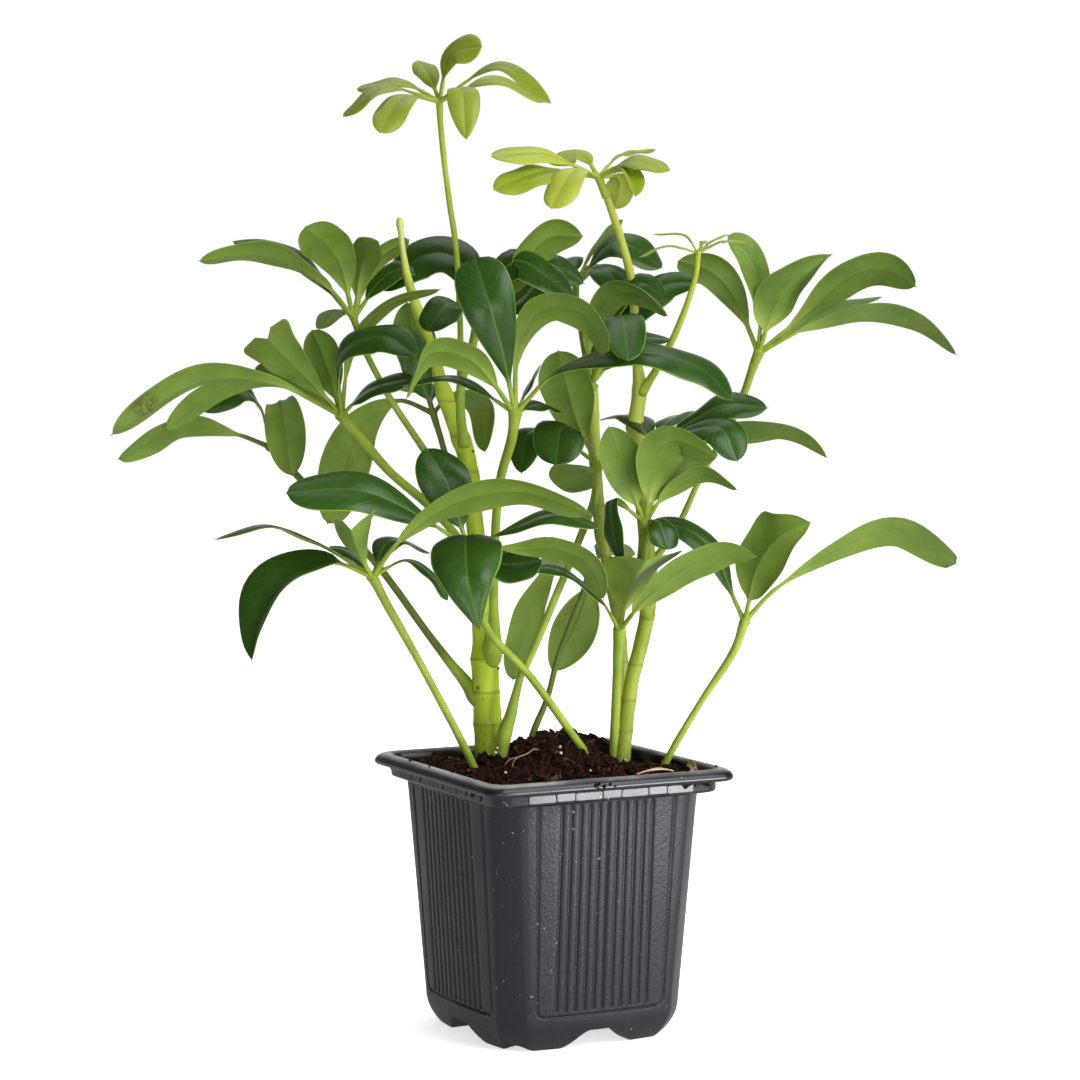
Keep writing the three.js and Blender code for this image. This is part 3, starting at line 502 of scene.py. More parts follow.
def soil_height(x, y, edge):
    """The heaped top, with clods and fine crumbs; edge is 0 at the pot's wall and 1 well inside."""
    heap = sum(high * math.exp(-(math.dist((x, y), middle) / wide) ** 3) for high, middle, wide in HEAPS)
    lumps = 0.7 * math.sin(2 * math.pi * x / 37) * math.cos(2 * math.pi * y / 37)
    clods = 3 * noise.noise(Vector((x / 7, y / 7, 3)))
    clods += 2.8 * abs(noise.noise(Vector((x / 3.2, y / 3.2, 9))))
    crumbs = 0.7 * noise.noise(Vector((x / 1.2, y / 1.2, 17)))
    return SOIL_EDGE + heap + lumps + (0.35 + 0.65 * edge) * clods + crumbs


soil_verts = []
for half, corner, z in (
        (33, 16, 8.35), (36, 16, 50), (38.5, 16, 89), (40.2, 12, 92), (42.6, 6.5, 93), (44.2, 6, 93.6)):
    soil_verts += square_ring(half, corner, z)
top_from = len(soil_verts)
for share in np.linspace(1, 0.004, SOIL_RING_ROWS):
    soil_verts += [(x * share, y * share, soil_height(x * share, y * share, ease(4 * (1 - share))))
                   for x, y, _ in square_ring(44.5, 6, 0)]
soil_verts = np.array(soil_verts) / 1000
soil_faces = skin(len(soil_verts) // SOIL_RING_POINTS, SOIL_RING_POINTS)

peat = Shader("moist_peat")
fine = peat.noise(1100, 6, 0.7)
clumps = peat.noise(230, 4, 0.6)
dark = peat.mix(peat.range(clumps, 0.35, 0.7), (0.006, 0.0022, 0.0015), (0.028, 0.0092, 0.0052))
# Lighter reddish-brown flecks where the fine noise is high are painted highlights of lit crumbs.
soil_peat = peat.finish(
    Base_Color=peat.mix(peat.range(fine, 0.53, 0.7), dark, (0.19, 0.06, 0.028)),
    Roughness=peat.range(fine, 0.3, 0.7, 0.62, 0.95),
    Specular_IOR_Level=0.12,
    Normal=peat.bump(fine, 0.0006, 0.9),
)
add_piece("potting_soil", soil_verts, soil_faces, soil_peat, "soil", "soil")


# Loose crumbs and clods of the same peat and coir lie over the soil, mixed with a few grains of
# white perlite and short coir fibres. Each is strewn by rule over the soil's top.
def soil_top():
    """The soil's upper face alone, as the ground that loose grains are strewn on."""
    faces = [tuple(v - top_from for v in face)
             for face in soil_faces if min(face) >= top_from and len(face) == 4]
    ground = bpy.data.meshes.new("ground")
    ground.from_pydata([tuple(v) for v in soil_verts[top_from:]], [], faces)
    return ground


GRAIN_KINDS = 4


def strewn(name, material, seed, density, small, large, rough=0.9, facets=(7, 5)):
    """Grains of a few lumpy kinds, turned and sized at random, sunk half into the soil's top."""
    rule = Pattern(name, {"Grains a square metre": float(density), "Smallest": small / 1000,
                          "Largest": large / 1000, "Seed": seed})
    size = rule.size
    spots = rule.shape("DistributePointsOnFaces", {
        "Mesh": size["Geometry"], "Density": size["Grains a square metre"], "Seed": size["Seed"]})
    kinds = []
    for kind in range(GRAIN_KINDS):
        ball = rule.shape("MeshUVSphere", {"Segments": facets[0], "Rings": facets[1], "Radius": 1.0})
        dents = rule.node("ShaderNodeTexNoise", {"Scale": 0.9, "Detail": 1.0, "W": 3.7 * kind}, "Color",
                          noise_dimensions="4D")
        push = rule.node("ShaderNodeVectorMath", {0: dents, 1: (0.5, 0.5, 0.5)}, operation="SUBTRACT")
        offset = rule.node("ShaderNodeVectorMath", {0: push, "Scale": 2.2 * rough}, operation="SCALE")
        dented = rule.shape("SetPosition", {"Geometry": ball, "Offset": offset})
        pressed = rule.shape("Transform", {"Geometry": dented, "Scale": (1, 0.8, 0.75 - 0.1 * kind)})
        kinds.append(rule.shape("GeometryToInstance", {0: pressed}))
    width = rule.random(0.0, 1.0, 11) ** 2.4 * (size["Largest"] - size["Smallest"]) + size["Smallest"]
    grains = rule.shape("InstanceOnPoints", {
        "Points": spots, "Instance": rule.join(kinds), "Pick Instance": True,
        "Instance Index": rule.random(0, GRAIN_KINDS - 1, 7, "INT"),
        "Rotation": rule.random((0, 0, 0), (6.28, 6.28, 6.28), 5, "FLOAT_VECTOR"), "Scale": width})
    return rule.piece(name, soil_top(), grains, material, "soil")


white = Shader("white_perlite")
perlite = white.finish(
    Base_Color=white.mix(white.noise(1500, 4), (0.5, 0.46, 0.4), (0.85, 0.83, 0.78)), Roughness=0.8,
    Normal=white.bump(white.noise(2500), 0.0002, 0.6),
)
strewn("soil_crumbs", soil_peat, 4, 400000, 0.25, 1.3, facets=(6, 4))
strewn("soil_clods", soil_peat, 9, 60000, 0.9, 3.6, rough=1.2)
strewn("soil_lumps", soil_peat, 15, 9000, 2.2, 4.4, rough=1.1, facets=(12, 8))
strewn("perlite_grains", perlite, 21, 9000, 0.22, 0.7, rough=0.6)

coir = Shader("coir_fibre")
coir_brown = coir.finish(
    Base_Color=coir.mix(coir.noise(300, 2), (0.07, 0.03, 0.013), (0.2, 0.1, 0.045)), Roughness=0.85)
fibres = Pattern("coir_fibres", {"Fibres a square metre": 26000.0, "Longest": 0.0042, "Seed": 31})
size = fibres.size
spots = fibres.shape("DistributePointsOnFaces", {
    "Mesh": size["Geometry"], "Density": size["Fibres a square metre"], "Seed": size["Seed"]})
bow = fibres.shape("CurveQuadraticBezier", {
    "Resolution": 5, "Start": (-1, 0, 0.1), "Middle": (-0.1, 0.7, 0.35), "End": (1, -0.1, 0)})
circle = fibres.shape("CurvePrimitiveCircle", {"Resolution": 4, "Radius": 0.035})
strands = fibres.shape("InstanceOnPoints", {
    "Points": spots,
    "Instance": fibres.shape("CurveToMesh", {"Curve": bow, "Profile Curve": circle, "Fill Caps": True}),
    "Rotation": fibres.random((-0.5, -0.5, 0), (0.5, 0.5, 6.28), 3, "FLOAT_VECTOR"),
    "Scale": fibres.random(0.3, 1.0, 8) * size["Longest"]})
fibres.piece("coir_fibres", soil_top(), strands, coir_brown, "soil")
strewn("coir_chips", coir_brown, 43, 16000, 0.5, 1.7, rough=1.3)


# The three rooted cuttings: soft green bark over wood, thickest at the soil, with a ring where
# each old leaf stood. Places are as seen from the front of the plant, in mm, with a radius.
FINE_STEPS = 40


def spline(knots, places):
    """Points and unit tangents at shares of the length of a centripetal Catmull-Rom curve, its
    length, and the shares at which its knots lie."""
    p = np.array(knots, float)
    p = np.vstack([2 * p[0] - p[1], p, 2 * p[-1] - p[-2]])
    fine = []
    for k in range(1, len(p) - 2):
        before, start, end, after = p[k - 1:k + 3]
        gaps = start - before, end - start, after - end
        lead, span, trail = (max(np.linalg.norm(gap) ** 0.5, 1e-4) for gap in gaps)
        leave = (gaps[0] / lead - (end - before) / (lead + span) + gaps[1] / span) * span
        arrive = (gaps[1] / span - (after - start) / (span + trail) + gaps[2] / trail) * span
        t = np.linspace(0, 1, FINE_STEPS, endpoint=k == len(p) - 3)[:, None]
        fine.append((2 * t**3 - 3 * t**2 + 1) * start + (t**3 - 2 * t**2 + t) * leave
                    + (3 * t**2 - 2 * t**3) * end + (t**3 - t**2) * arrive)
    fine = np.vstack(fine)
    run = np.concatenate([[0], np.cumsum(np.linalg.norm(np.diff(fine, axis=0), axis=1))])
    length = run[-1]

    def at(where):
        return np.stack([np.interp(where, run, fine[:, n]) for n in range(3)], 1)
    want = np.asarray(places) * length
    step = length * 0.004
    tangents = at(np.minimum(want + step, length)) - at(np.maximum(want - step, 0))
    tangents /= np.linalg.norm(tangents, axis=1)[:, None]
    knot_places = run[[*range(0, len(run), FINE_STEPS), len(run) - 1]] / length
    return at(want), tangents, length, knot_places


def tube(knots, sides, step, swell=None, wobble=0.0, seed=0):
    """A closed round tube through knots of place and radius. swell(z, share) scales each ring."""
    knots = np.array(knots, float)
    _, _, length, knot_places = spline(knots[:, :3], (0, 1))
    count = max(4, int(length / step))
    share = np.linspace(0, 1, count)
    at, ahead, _, _ = spline(knots[:, :3], share)
    radius = np.interp(share, knot_places, knots[:, 3])
    side = np.cross(ahead, (0.0, 1.0, 0.0))
    side /= np.linalg.norm(side, axis=1)[:, None]
    over = np.cross(ahead, side)
    verts = []
    for n in range(count):
        grow = swell(at[n], share[n], length) if swell else 1.0
        for angle in np.linspace(0, 2 * math.pi, sides, endpoint=False):
            bumpy = wobble * noise.noise(Vector((math.cos(angle), math.sin(angle), at[n][2] / 9 + seed)))
            reach = radius[n] * grow * (1 + bumpy)
            verts.append(at[n] + reach * (math.cos(angle) * side[n] + math.sin(angle) * over[n]))
    return np.array(verts), skin(count, sides), np.repeat(share, sides)


bark = Shader("green_bark")
streak = bark.noise(420, 4, 0.6, bark.drawn_out(1, 1, 0.25))
patches = bark.range(bark.noise(70), 0.35, 0.65)
sideways, height = bark.axis("X"), bark.axis("Z")
# The left stem is painted a lighter green and the right stems a darker one: painted light and painted
# shade.
lit_left_green = bark.mix(patches, (0.34, 0.48, 0.01), (0.43, 0.57, 0.02))
shaded_right_green = bark.mix(patches, (0.22, 0.29, 0.015), (0.29, 0.36, 0.035))
to_the_right = bark.range(sideways, -0.004, 0.01)
green = bark.mix(to_the_right, lit_left_green, shaded_right_green)
pale = bark.mix(bark.range(streak, 0.45, 0.8) * 0.4, green, (0.46, 0.52, 0.13))
aged = bark.mix(bark.attribute("scar") * 0.75, pale, (0.21, 0.16, 0.04))
young_wood = bark.range(height, 0.185, 0.22) * bark.range(to_the_right, 0, 1, 0, 0.8)
soft_wood = bark.range(height, 0.2, 0.27) * 0.4
ripe = bark.mix(bark.math("MAXIMUM", young_wood, soft_wood), aged, (0.5, 0.56, 0.09))
bud = bark.range(height, 0.27, 0.29) * bark.range(sideways, 0.0, -0.02)
splash = bark.range(height, 0.112, 0.1) * bark.range(bark.noise(620, 4, 0.7), 0.56, 0.66)
green_bark = bark.finish(
    Base_Color=bark.mix(splash, bark.mix(bud * 0.8, ripe, (0.6, 0.64, 0.24)), (0.09, 0.06, 0.015)),
    Roughness=bark.range(streak, 0.3, 0.7, 0.36, 0.5),
    Specular_IOR_Level=0.3,
    Subsurface_Weight=0.15, Subsurface_Radius=(1.0, 1.2, 0.3), Subsurface_Scale=0.0012,
    Normal=bark.bump(streak, 0.00025, 0.5),
)


def give(piece, name, values):
    """A number for each point of a piece, which its material reads."""
    numbers = piece.data.attributes.new(name, "FLOAT", "POINT")
    numbers.data.foreach_set("value", np.asarray(values, np.float32))


def cutting(node, seed, path, old_leaves, knuckles=()):
    """A stem through places and radii that swells a little at the height of each old leaf's ring,
    and more at its knuckles, where a leaf stalk was cut away: how high and by how much."""
    def swell(place, share, length):
        rings = [place[2] - z for z in old_leaves]
        rough = sum(0.05 * math.exp(-(d / 2.2) ** 2) + 0.025 * math.exp(-((d - 0.2) / 0.4) ** 2)
                    for d in rings)
        return 1 + rough + sum(size * math.exp(-((place[2] - z) / 2.8) ** 2) for z, size in knuckles)
    verts, faces, _ = tube(path, 28, 0.55, swell, 0.05, seed)
    name = node.replace("stem", "cutting")
    stem = add_piece(name, from_view(verts), faces, green_bark, "green_stem", node)
    near = np.min([abs(verts[:, 2] - z - 0.3) for z in old_leaves], axis=0)
    give(stem, "scar", np.exp(-(near / 0.45) ** 2))


cutting("stem_left", 0, [
    [-23, 20, 84, 5.2], [-23.3, 20, 100, 5.2], [-24, 20, 121, 5], [-24.8, 19, 134, 5],
    [-25.2, 19, 140, 3.9], [-26.9, 17, 172, 3.3], [-29.8, 15, 197, 3.3], [-31.3, 14, 210, 3.4],
    [-36.3, 13, 223, 2.8], [-40.7, 12, 237, 2.5], [-44.4, 10, 250, 2.3], [-48.6, 9, 262, 1.9],
    [-52.2, 8, 274, 1.5], [-54, 8, 284, 1.1], [-54.8, 8, 291, 1.05], [-55.1, 8, 294, 1.35],
    [-55.2, 8, 295.6, 1.1], [-55.2, 8, 296.2, 0.5],
], (109, 121, 133.5, 150, 163, 176, 190, 203, 216, 229, 243, 258, 272),
    ((262, 0.1), (232, 0.22), (215, 0.12), (200.5, 0.22)))
cutting("stem_middle", 10, [
    [27, 33, 84, 2.3], [27, 33, 100, 2.3], [26.4, 33, 140, 2.1], [22.4, 32, 161, 2.1],
    [19.4, 29, 178, 2.1], [17.3, 24, 197, 2.1], [15.6, 20, 218, 2.5], [14.6, 16, 233, 2.8],
], (112, 131, 152, 171, 190, 208, 224))
cutting("stem_right", 20, [
    [26.2, 15, 84, 3.1], [26.8, 15.5, 100, 3], [30, 20, 125, 2.7], [33.4, 23, 138, 2.7],
    [36, 25, 150, 2.8], [37, 26, 161, 2.8], [35.5, 27, 178, 2.8], [33.2, 28, 200, 2.6],
    [31.4, 27, 219, 2.8], [33, 27, 234, 2.8], [32.2, 26, 242, 1.9], [29.8, 22, 273, 1.6],
    [26, 20, 288, 1.5], [20.5, 16, 304, 1.4],
], (107, 118, 131, 149.5, 163, 176, 191, 206, 219, 233, 246, 262, 278, 292), ((219.5, 0.24), (248, 0.1)))


# Loose bits, each lying where the potting left it: strips of dry beige leaf at the right rim and a
# film of one over the front lip, a pale root on the soil, perlite lumps, and crumbs on the lip.
def lump(centre, radius, seed, rows=9, around=14, uneven=0.22):
    """A closed round lump with a slightly uneven surface."""
    verts = []
    for row in range(rows):
        tilt = math.pi * (row + 0.5) / rows - math.pi / 2
        for step in range(around):
            angle = 2 * math.pi * step / around
            level = math.cos(tilt)
            out = np.array([level * math.cos(angle), level * math.sin(angle), 0.9 * math.sin(tilt)])
            dent = noise.noise(Vector(out * 1.6) + Vector((seed, 0, 0)))
            verts.append(np.array(centre) + radius * out * (1 + uneven * dent))
    return np.array(verts), skin(rows, around)


def strip(knots, thick, rows=26, columns=8):
    """A thin curled strip through knots of place, half width and lean in degrees; closed all round."""
    knots = np.array(knots, float)
    share = np.linspace(0, 1, rows)
    at, ahead, _, _ = spline(knots[:, :3], share)
    half, lean = (np.interp(share, np.linspace(0, 1, len(knots)), knots[:, n]) for n in (3, 4))
    ring = [(c, 1) for c in np.linspace(-1, 1, columns)] + [(c, -1) for c in np.linspace(1, -1, columns)]
    verts = []
    for n in range(rows):
        side = np.cross(ahead[n], (0, 0, 1.0))
        side /= np.linalg.norm(side)
        over = np.cross(side, ahead[n])
        out = side * math.cos(math.radians(lean[n])) + over * math.sin(math.radians(lean[n]))
        up = np.cross(out, ahead[n])
        for c, face_up in ring:
            verts.append(at[n] + out * half[n] * c + up * (face_up * thick / 2 + 0.5 * half[n] * c * c))
    return np.array(verts), skin(rows, len(ring))


def joined(parts):
    """One list of places and faces out of several."""
    starts = np.cumsum([0] + [len(part[0]) for part in parts])
    faces = [tuple(v + start for v in face) for part, start in zip(parts, starts) for face in part[1]]
    return np.vstack([part[0] for part in parts]), faces


def lumps(spots, seeds, *how):
    return joined([lump(spot[:3], spot[3], seed, *how) for spot, seed in zip(spots, seeds)])


scrap = Shader("dry_leaf_scrap")
scrap_veins = scrap.noise(500, 3, 0.6, scrap.drawn_out(0.2, 1, 1))
dry_leaf = scrap.finish(
    Base_Color=scrap.mix(scrap.range(scrap_veins, 0.35, 0.7), (0.36, 0.22, 0.1), (0.72, 0.6, 0.4)),
    Roughness=0.6, Normal=scrap.bump(scrap_veins, 0.0003, 0.5),
)
verts, faces = joined([strip(knots, thick) for thick, *knots in (
    (0.25, [37, -41.5, 95.6, 0.6, 10], [38.5, -38, 97, 1.2, 40],
     [40.5, -32, 98.2, 1.5, 65], [41.5, -27, 96.6, 0.8, 40]),
    (0.22, [33, -42.5, 95.8, 0.4, -10], [36.5, -40, 97.2, 0.9, 30],
     [40, -36, 97, 0.9, 70], [42, -31, 95.6, 0.5, 60]),
    (0.18, [9.5, -46.2, 98.2, 0.3, 0], [14, -46, 98.9, 1.1, 12],
     [20, -45.6, 99.1, 1.3, -6], [25, -45.4, 98.3, 0.4, 0]),
)])
add_piece("dry_leaf_scraps", verts / 1000, faces, dry_leaf, "soil")

pale_root = Shader("pale_root")
root_skin = pale_root.finish(
    Base_Color=pale_root.mix(pale_root.noise(600), (0.2, 0.12, 0.05), (0.42, 0.32, 0.17)), Roughness=0.7)
verts, faces = joined([
    tube([[-17, -8, 97.5, 0.14], [-15, -7.5, 99.6, 0.22], [-12, -7, 100.4, 0.26], [-8.6, -6, 101.6, 0.28],
          [-6, -5.4, 103.2, 0.24], [-4.4, -4.8, 102.6, 0.14]], 10, 0.4, None, 0.2, 3),
    tube([[-12, -7, 100.4, 0.2], [-13.6, -8.4, 99, 0.16], [-14, -9.6, 97, 0.12]], 8, 0.4, None, 0.2, 5),
])
add_piece("surface_root", from_view(verts), faces, root_skin, "soil")

# Each lump is a place in mm and a radius.
PERLITE_LUMPS = (
    (3.6, -8, 102, 0.6), (3.2, -5, 104, 0.45), (-16.4, -22, 96.9, 0.5625), (-20.3, 3, 100.8, 0.6),
    (-19.7, 2.2, 102.6, 0.45), (14, -22, 97.6, 0.4125), (27, -4, 99, 0.375), (41, 6, 96.8, 0.45))
verts, faces = lumps(PERLITE_LUMPS, range(0, 24, 3), 7, 9, 0.7)
add_piece("perlite_lumps", from_view(verts), faces, perlite, "soil")

# Small dry brown scars on the stems, where old leaves were rubbed off.
STEM_SCARS = (
    (-28.5, 17.35, 126.4, 0.55), (-26.9, 15.75, 123.2, 0.7), (-27.4, 16.15, 121.6, 0.4),
    (-25, 14.65, 119, 0.3), (-19.4, 17.15, 130.2, 0.45), (-22.6, 14.65, 112, 0.28),
    (-24.2, 14.55, 106, 0.3), (-33.9, 11.55, 214.5, 0.7), (-28.6, 11.75, 211, 0.5),
    (33.8, 23.15, 163, 0.5), (37.6, 23.95, 149.5, 0.45))
verts, faces = lumps(STEM_SCARS, range(2, 57, 5), 7, 10, 0.5)
add_piece("stem_scars", from_view(verts), faces, coir_brown, "green_stem")

LIP_CRUMBS = (
    (-26.3, -45.6, 98.4, 1.15), (-27.6, -46.3, 97.9, 0.7), (-9, -49.9, 95.9, 0.75), (-7.6, -50, 96.6, 0.5),
    (-5.6, -49.9, 95.4, 0.8), (-3.2, -49.9, 96, 0.6), (-1.4, -49.9, 95.2, 0.45), (-8.2, -49.9, 94.9, 0.5),
    (-47, 21, 98.8, 0.5), (-46.2, -12, 98.4, 0.45), (-47.5, 4, 98.6, 0.35), (30, -47, 98.1, 0.4),
    (46.2, -40, 98.1, 0.45))
verts, faces = lumps(LIP_CRUMBS, range(1, 92, 7), 8, 11, 0.8)
add_piece("lip_crumbs", verts / 1000, faces, soil_peat, "soil")


# The fronds: each leaf of the plant is a long stalk that ends in a knuckle with up to eight
# leathery leaflets on little stalks of their own. The blades are glossy dark green above with a
# pale midrib, matte light green below, and arch down to a blunt point.
blade = Shader("umbrella_leaf")
upper_side = blade.attribute("upper")
across = abs(blade.attribute("across"))
along = blade.attribute("along")
young = blade.attribute("young")
olive = blade.attribute("olive")
tint_and_painted_light = blade.attribute("tint_and_painted_light")
mottle = blade.noise(95, 4, 0.55)
blotch = blade.range(mottle, 0.3, 0.7)

# Lateral veins leave the midrib at a slant and curve towards the tip.
slant = along * 11.0 - across ** 1.3 * 2.4
vein = blade.range(abs(blade.math("FRACT", slant + 20.0) - 0.5), 0.09, 0.0)
midrib = blade.range(abs(blade.attribute("rib")), 0.7, 0.12) * blade.range(along, 1.0, 0.1, 0.3, 1.0)
margin = blade.range(across, 0.94, 0.992)

old_green = blade.mix(blotch, (0.013, 0.047, 0.004), (0.023, 0.074, 0.007))
# A leaflet's share of lighter green is a random tone; on some fronds it is held low as painted shade and
# high as painted light.
top_tint_and_painted_light = blade.mix(tint_and_painted_light * 0.5, old_green, (0.038, 0.105, 0.01))
top_green = blade.mix(young, top_tint_and_painted_light, blade.mix(tint_and_painted_light, (0.25, 0.34, 0.02), (0.42, 0.48, 0.055)))
veined = blade.mix(vein * 0.1, top_green, (0.14, 0.26, 0.04))
ribbed = blade.mix(midrib * 0.5, veined, (0.13, 0.26, 0.03))
top_colour = blade.mix(margin * 0.8, ribbed, (0.22, 0.4, 0.03))

under_green = blade.mix(blotch, (0.092, 0.17, 0.02), (0.14, 0.235, 0.03))
patchy = blade.range(blade.noise(330, 5, 0.7), 0.48, 0.7) * 0.3
under_patchy = blade.mix(patchy, under_green, (0.2, 0.29, 0.05))
# The same share lightens the underside: random tone, and on some fronds painted light and shade.
under_tint_and_painted_light = blade.mix(tint_and_painted_light * 0.4, under_patchy, (0.27, 0.39, 0.055))
under_young = blade.mix(young, under_tint_and_painted_light, blade.mix(tint_and_painted_light, (0.31, 0.38, 0.045), (0.54, 0.58, 0.15)))
under_veins = blade.mix(vein * 0.13, under_young, (0.09, 0.15, 0.025))
under_base = blade.mix(blade.range(along, 0.3, 0.0), under_veins, (0.27, 0.38, 0.06))
under_edge = blade.mix(margin * 0.45, under_base, (0.32, 0.44, 0.06))
# One large leaf has a brown bruise, and the low leaves at the back have dry brown tips.
BRUISE_AT = (-147.5, -3, 228.5)
from_bruise = blade.node("ShaderNodeVectorMath", {
    0: blade.place(), 1: tuple(from_view(BRUISE_AT))}, "Value", operation="DISTANCE")
bruise = blade.range(from_bruise, 0.0075, 0.0025) * blade.range(blade.noise(420, 4, 0.7), 0.42, 0.54)
dry_tip = olive * blade.range(along, 0.955, 0.99)
specks = blade.range(blade.noise(190, 5, 0.75), 0.76, 0.8)
marked = blade.math("MAXIMUM", blade.math("MAXIMUM", specks, bruise), dry_tip)
under_colour = blade.mix(marked * 0.75, under_edge, (0.085, 0.05, 0.018))

stalk_light = blade.mix(blotch, (0.2, 0.3, 0.022), (0.3, 0.4, 0.045))
stalk_green = blade.mix(olive, stalk_light, (0.11, 0.165, 0.022))
stalk_colour = blade.mix(young * 0.6, stalk_green, (0.47, 0.55, 0.055))
sides_colour = blade.mix(upper_side, under_colour, top_colour)
leaf_green = blade.finish(
    Base_Color=blade.mix(blade.attribute("blade"), stalk_colour, sides_colour),
    Roughness=blade.range(upper_side, 0.4, 0.6, 0.55, 0.31) + blade.range(mottle, 0.3, 0.7, -0.04, 0.06),
    Specular_IOR_Level=0.28,
    Normal=blade.bump(vein * 0.5 + blade.noise(900, 3, 0.6), 0.0002, 0.25),
)

FOLD, FULL_FOLD = 8, 14
PETIOLULE_END, YOUNG_PETIOLULE_END = 0.18, 0.25
RIGHT_COLUMNS = (0.035, 0.09, 0.18, 0.31, 0.48, 0.66, 0.82, 0.93, 0.985, 1)
TOP_COLUMNS = [-c for c in reversed(RIGHT_COLUMNS)] + [0, *RIGHT_COLUMNS]
RING = [(c, 1) for c in TOP_COLUMNS] + [(c, -1) for c in reversed(TOP_COLUMNS[1:-1])]
BLADE_ROWS = 30
EDGE_THICK, MIDDLE_THICK, RIB_HIGH = 0.22, 0.4, 0.42


def carried(face, tangents, middle):
    """The upper side's direction at each row, carried both ways from the middle row."""
    ups = [None] * len(tangents)

    def carry(row, direction):
        direction = direction - tangents[row] * direction.dot(tangents[row])
        ups[row] = direction / np.linalg.norm(direction)
    carry(middle, np.array(face, float))
    for row in range(middle + 1, len(ups)):
        carry(row, ups[row - 1])
    for row in range(middle - 1, -1, -1):
        carry(row, ups[row + 1])
    return np.array(ups)


def leaf(points, width, face, fold=FOLD, broad=None, twist=0.0, roll=1.0, horns=()):
    """A leaflet: its path from the knuckle, width, which way its upper side looks and its fold in
    degrees. broad: how far along it is widest; twist: its turn from middle to tip in degrees;
    roll: how far the margins roll down; horns: ears on the margins (side, how far along, size)."""
    return points, width, face, fold, broad, twist, roll, horns


def leaflet(hub, shape, draw, blade_from):
    """One leaflet: a round petiolule that widens into an arched, folded, slightly wavy blade."""
    points, width, face, fold, broad, twist, roll, horns = shape
    ahead_of_blade = blade_from * np.array([0, 0.1, 0.3, 0.53, 0.73, 0.9, 1])
    run = 1 - (1 - np.linspace(0, 1, BLADE_ROWS)[1:] ** 1.15) ** 1.35
    rows = np.concatenate([ahead_of_blade, blade_from + (1 - blade_from) * run])
    at, ahead, _, _ = spline([hub] + [np.add(hub, p) for p in points], rows)
    ups = carried(face, ahead, int(np.argmin(abs(rows - 0.6))))
    sides = np.cross(ups, ahead)
    broad = broad or draw.uniform(0.55, 0.66)
    first = 0.8 * broad / 0.55
    last = first * (1 - broad) / broad
    waves, turn, slack = draw.uniform(1.3, 2.4), draw.uniform(0, 6.28, 2), draw.uniform(0.04, 0.1)
    bend, wring = draw.uniform(-0.9, 0.9), twist + draw.uniform(-12, 12)
    round_half = min(0.88, 0.3 + 0.05 * width)
    lift = math.tan(math.radians(fold)) / math.tan(math.radians(FULL_FOLD))
    verts, notes = [], []
    for row, s in enumerate(rows):
        t = max(0.0, (s - blade_from) / (1 - blade_from))
        body = min(t / 0.985, 1.0)
        share = body ** first * (1 - body) ** last / (broad ** first * (1 - broad) ** last)
        point = 0.1 * min((1 - t) / 0.07, max(0.0, (t - 0.6) / 0.3))
        half = max(width / 2 * math.hypot(share, point), round_half if t < 0.5 else 0.1)
        lean = math.radians(wring) * (t - 0.5) * 2 * float(ease(t / 0.3))
        out = sides[row] * math.cos(lean) + ups[row] * math.sin(lean)
        up = ups[row] * math.cos(lean) - sides[row] * math.sin(lean)
        middle = at[row] + out * bend * math.sin(math.pi * t)
        flat = float(ease((s - 0.8 * blade_from) / 0.1))
        flare = 1 + 0.35 * math.exp(-(s / 0.05) ** 2)
        thin = 1 if t < 0.9 else 1 - 0.5 * (t - 0.9) / 0.1
        rib = RIB_HIGH * (1 - t) ** 0.8 + 0.05
        for c, face_up in RING:
            ear = sum(size * math.exp(-((t - where) / 0.09) ** 2) * abs(c) ** 3
                      for side, where, size in horns if c * side > 0)
            x = half * c + math.copysign(ear, c)
            rise = half * (0.5 * lift * (math.sqrt(c * c + 0.015) - 0.122) - 0.34 * roll * abs(c) ** 2.4)
            wave = slack * half * abs(c) ** 1.6 * math.sin(6.28 * waves * t + turn[int(c > 0)]) + 0.5 * ear
            thick = thin * (EDGE_THICK + (MIDDLE_THICK - EDGE_THICK) * (1 - c * c)) / 2
            bulge = -0.3 * rib * math.exp(-(x / 0.3) ** 2)
            if face_up < 0:
                bulge = -rib * math.exp(-(x / 0.55) ** 2)
            over = rise + wave
            if abs(c) < 1:
                over = rise + wave + face_up * thick + bulge
            round_x = round_half * flare * math.sin(c * math.pi / 2)
            round_z = 0.85 * round_half * flare * math.cos(c * math.pi / 2) * face_up
            verts.append(middle + out * (round_x + flat * (x - round_x))
                         + up * (round_z + flat * (over - round_z)) + ahead[row] * (0.7 * flat * ear))
            notes.append((0.5 + 0.5 * face_up * (abs(c) < 1), c, t, x, flat))
    return np.array(verts), skin(len(rows), len(RING)), np.array(notes)


def stalk_swell(place, share, length):
    """A leaf stalk widens under its knuckle and where it clasps the stem or enters the soil."""
    knuckle, clasp = share * length / 4, (1 - share) * length / 4.5
    return 0.84 + 0.2 * math.exp(-knuckle ** 2) + 0.35 * math.exp(-clasp ** 2)


# What the material reads on a stalk and its knuckle: no blade, and far from any midrib.
STALK_NOTES = (0.0, 0.0, 0.0, 9.0, 0.0)
grown = []


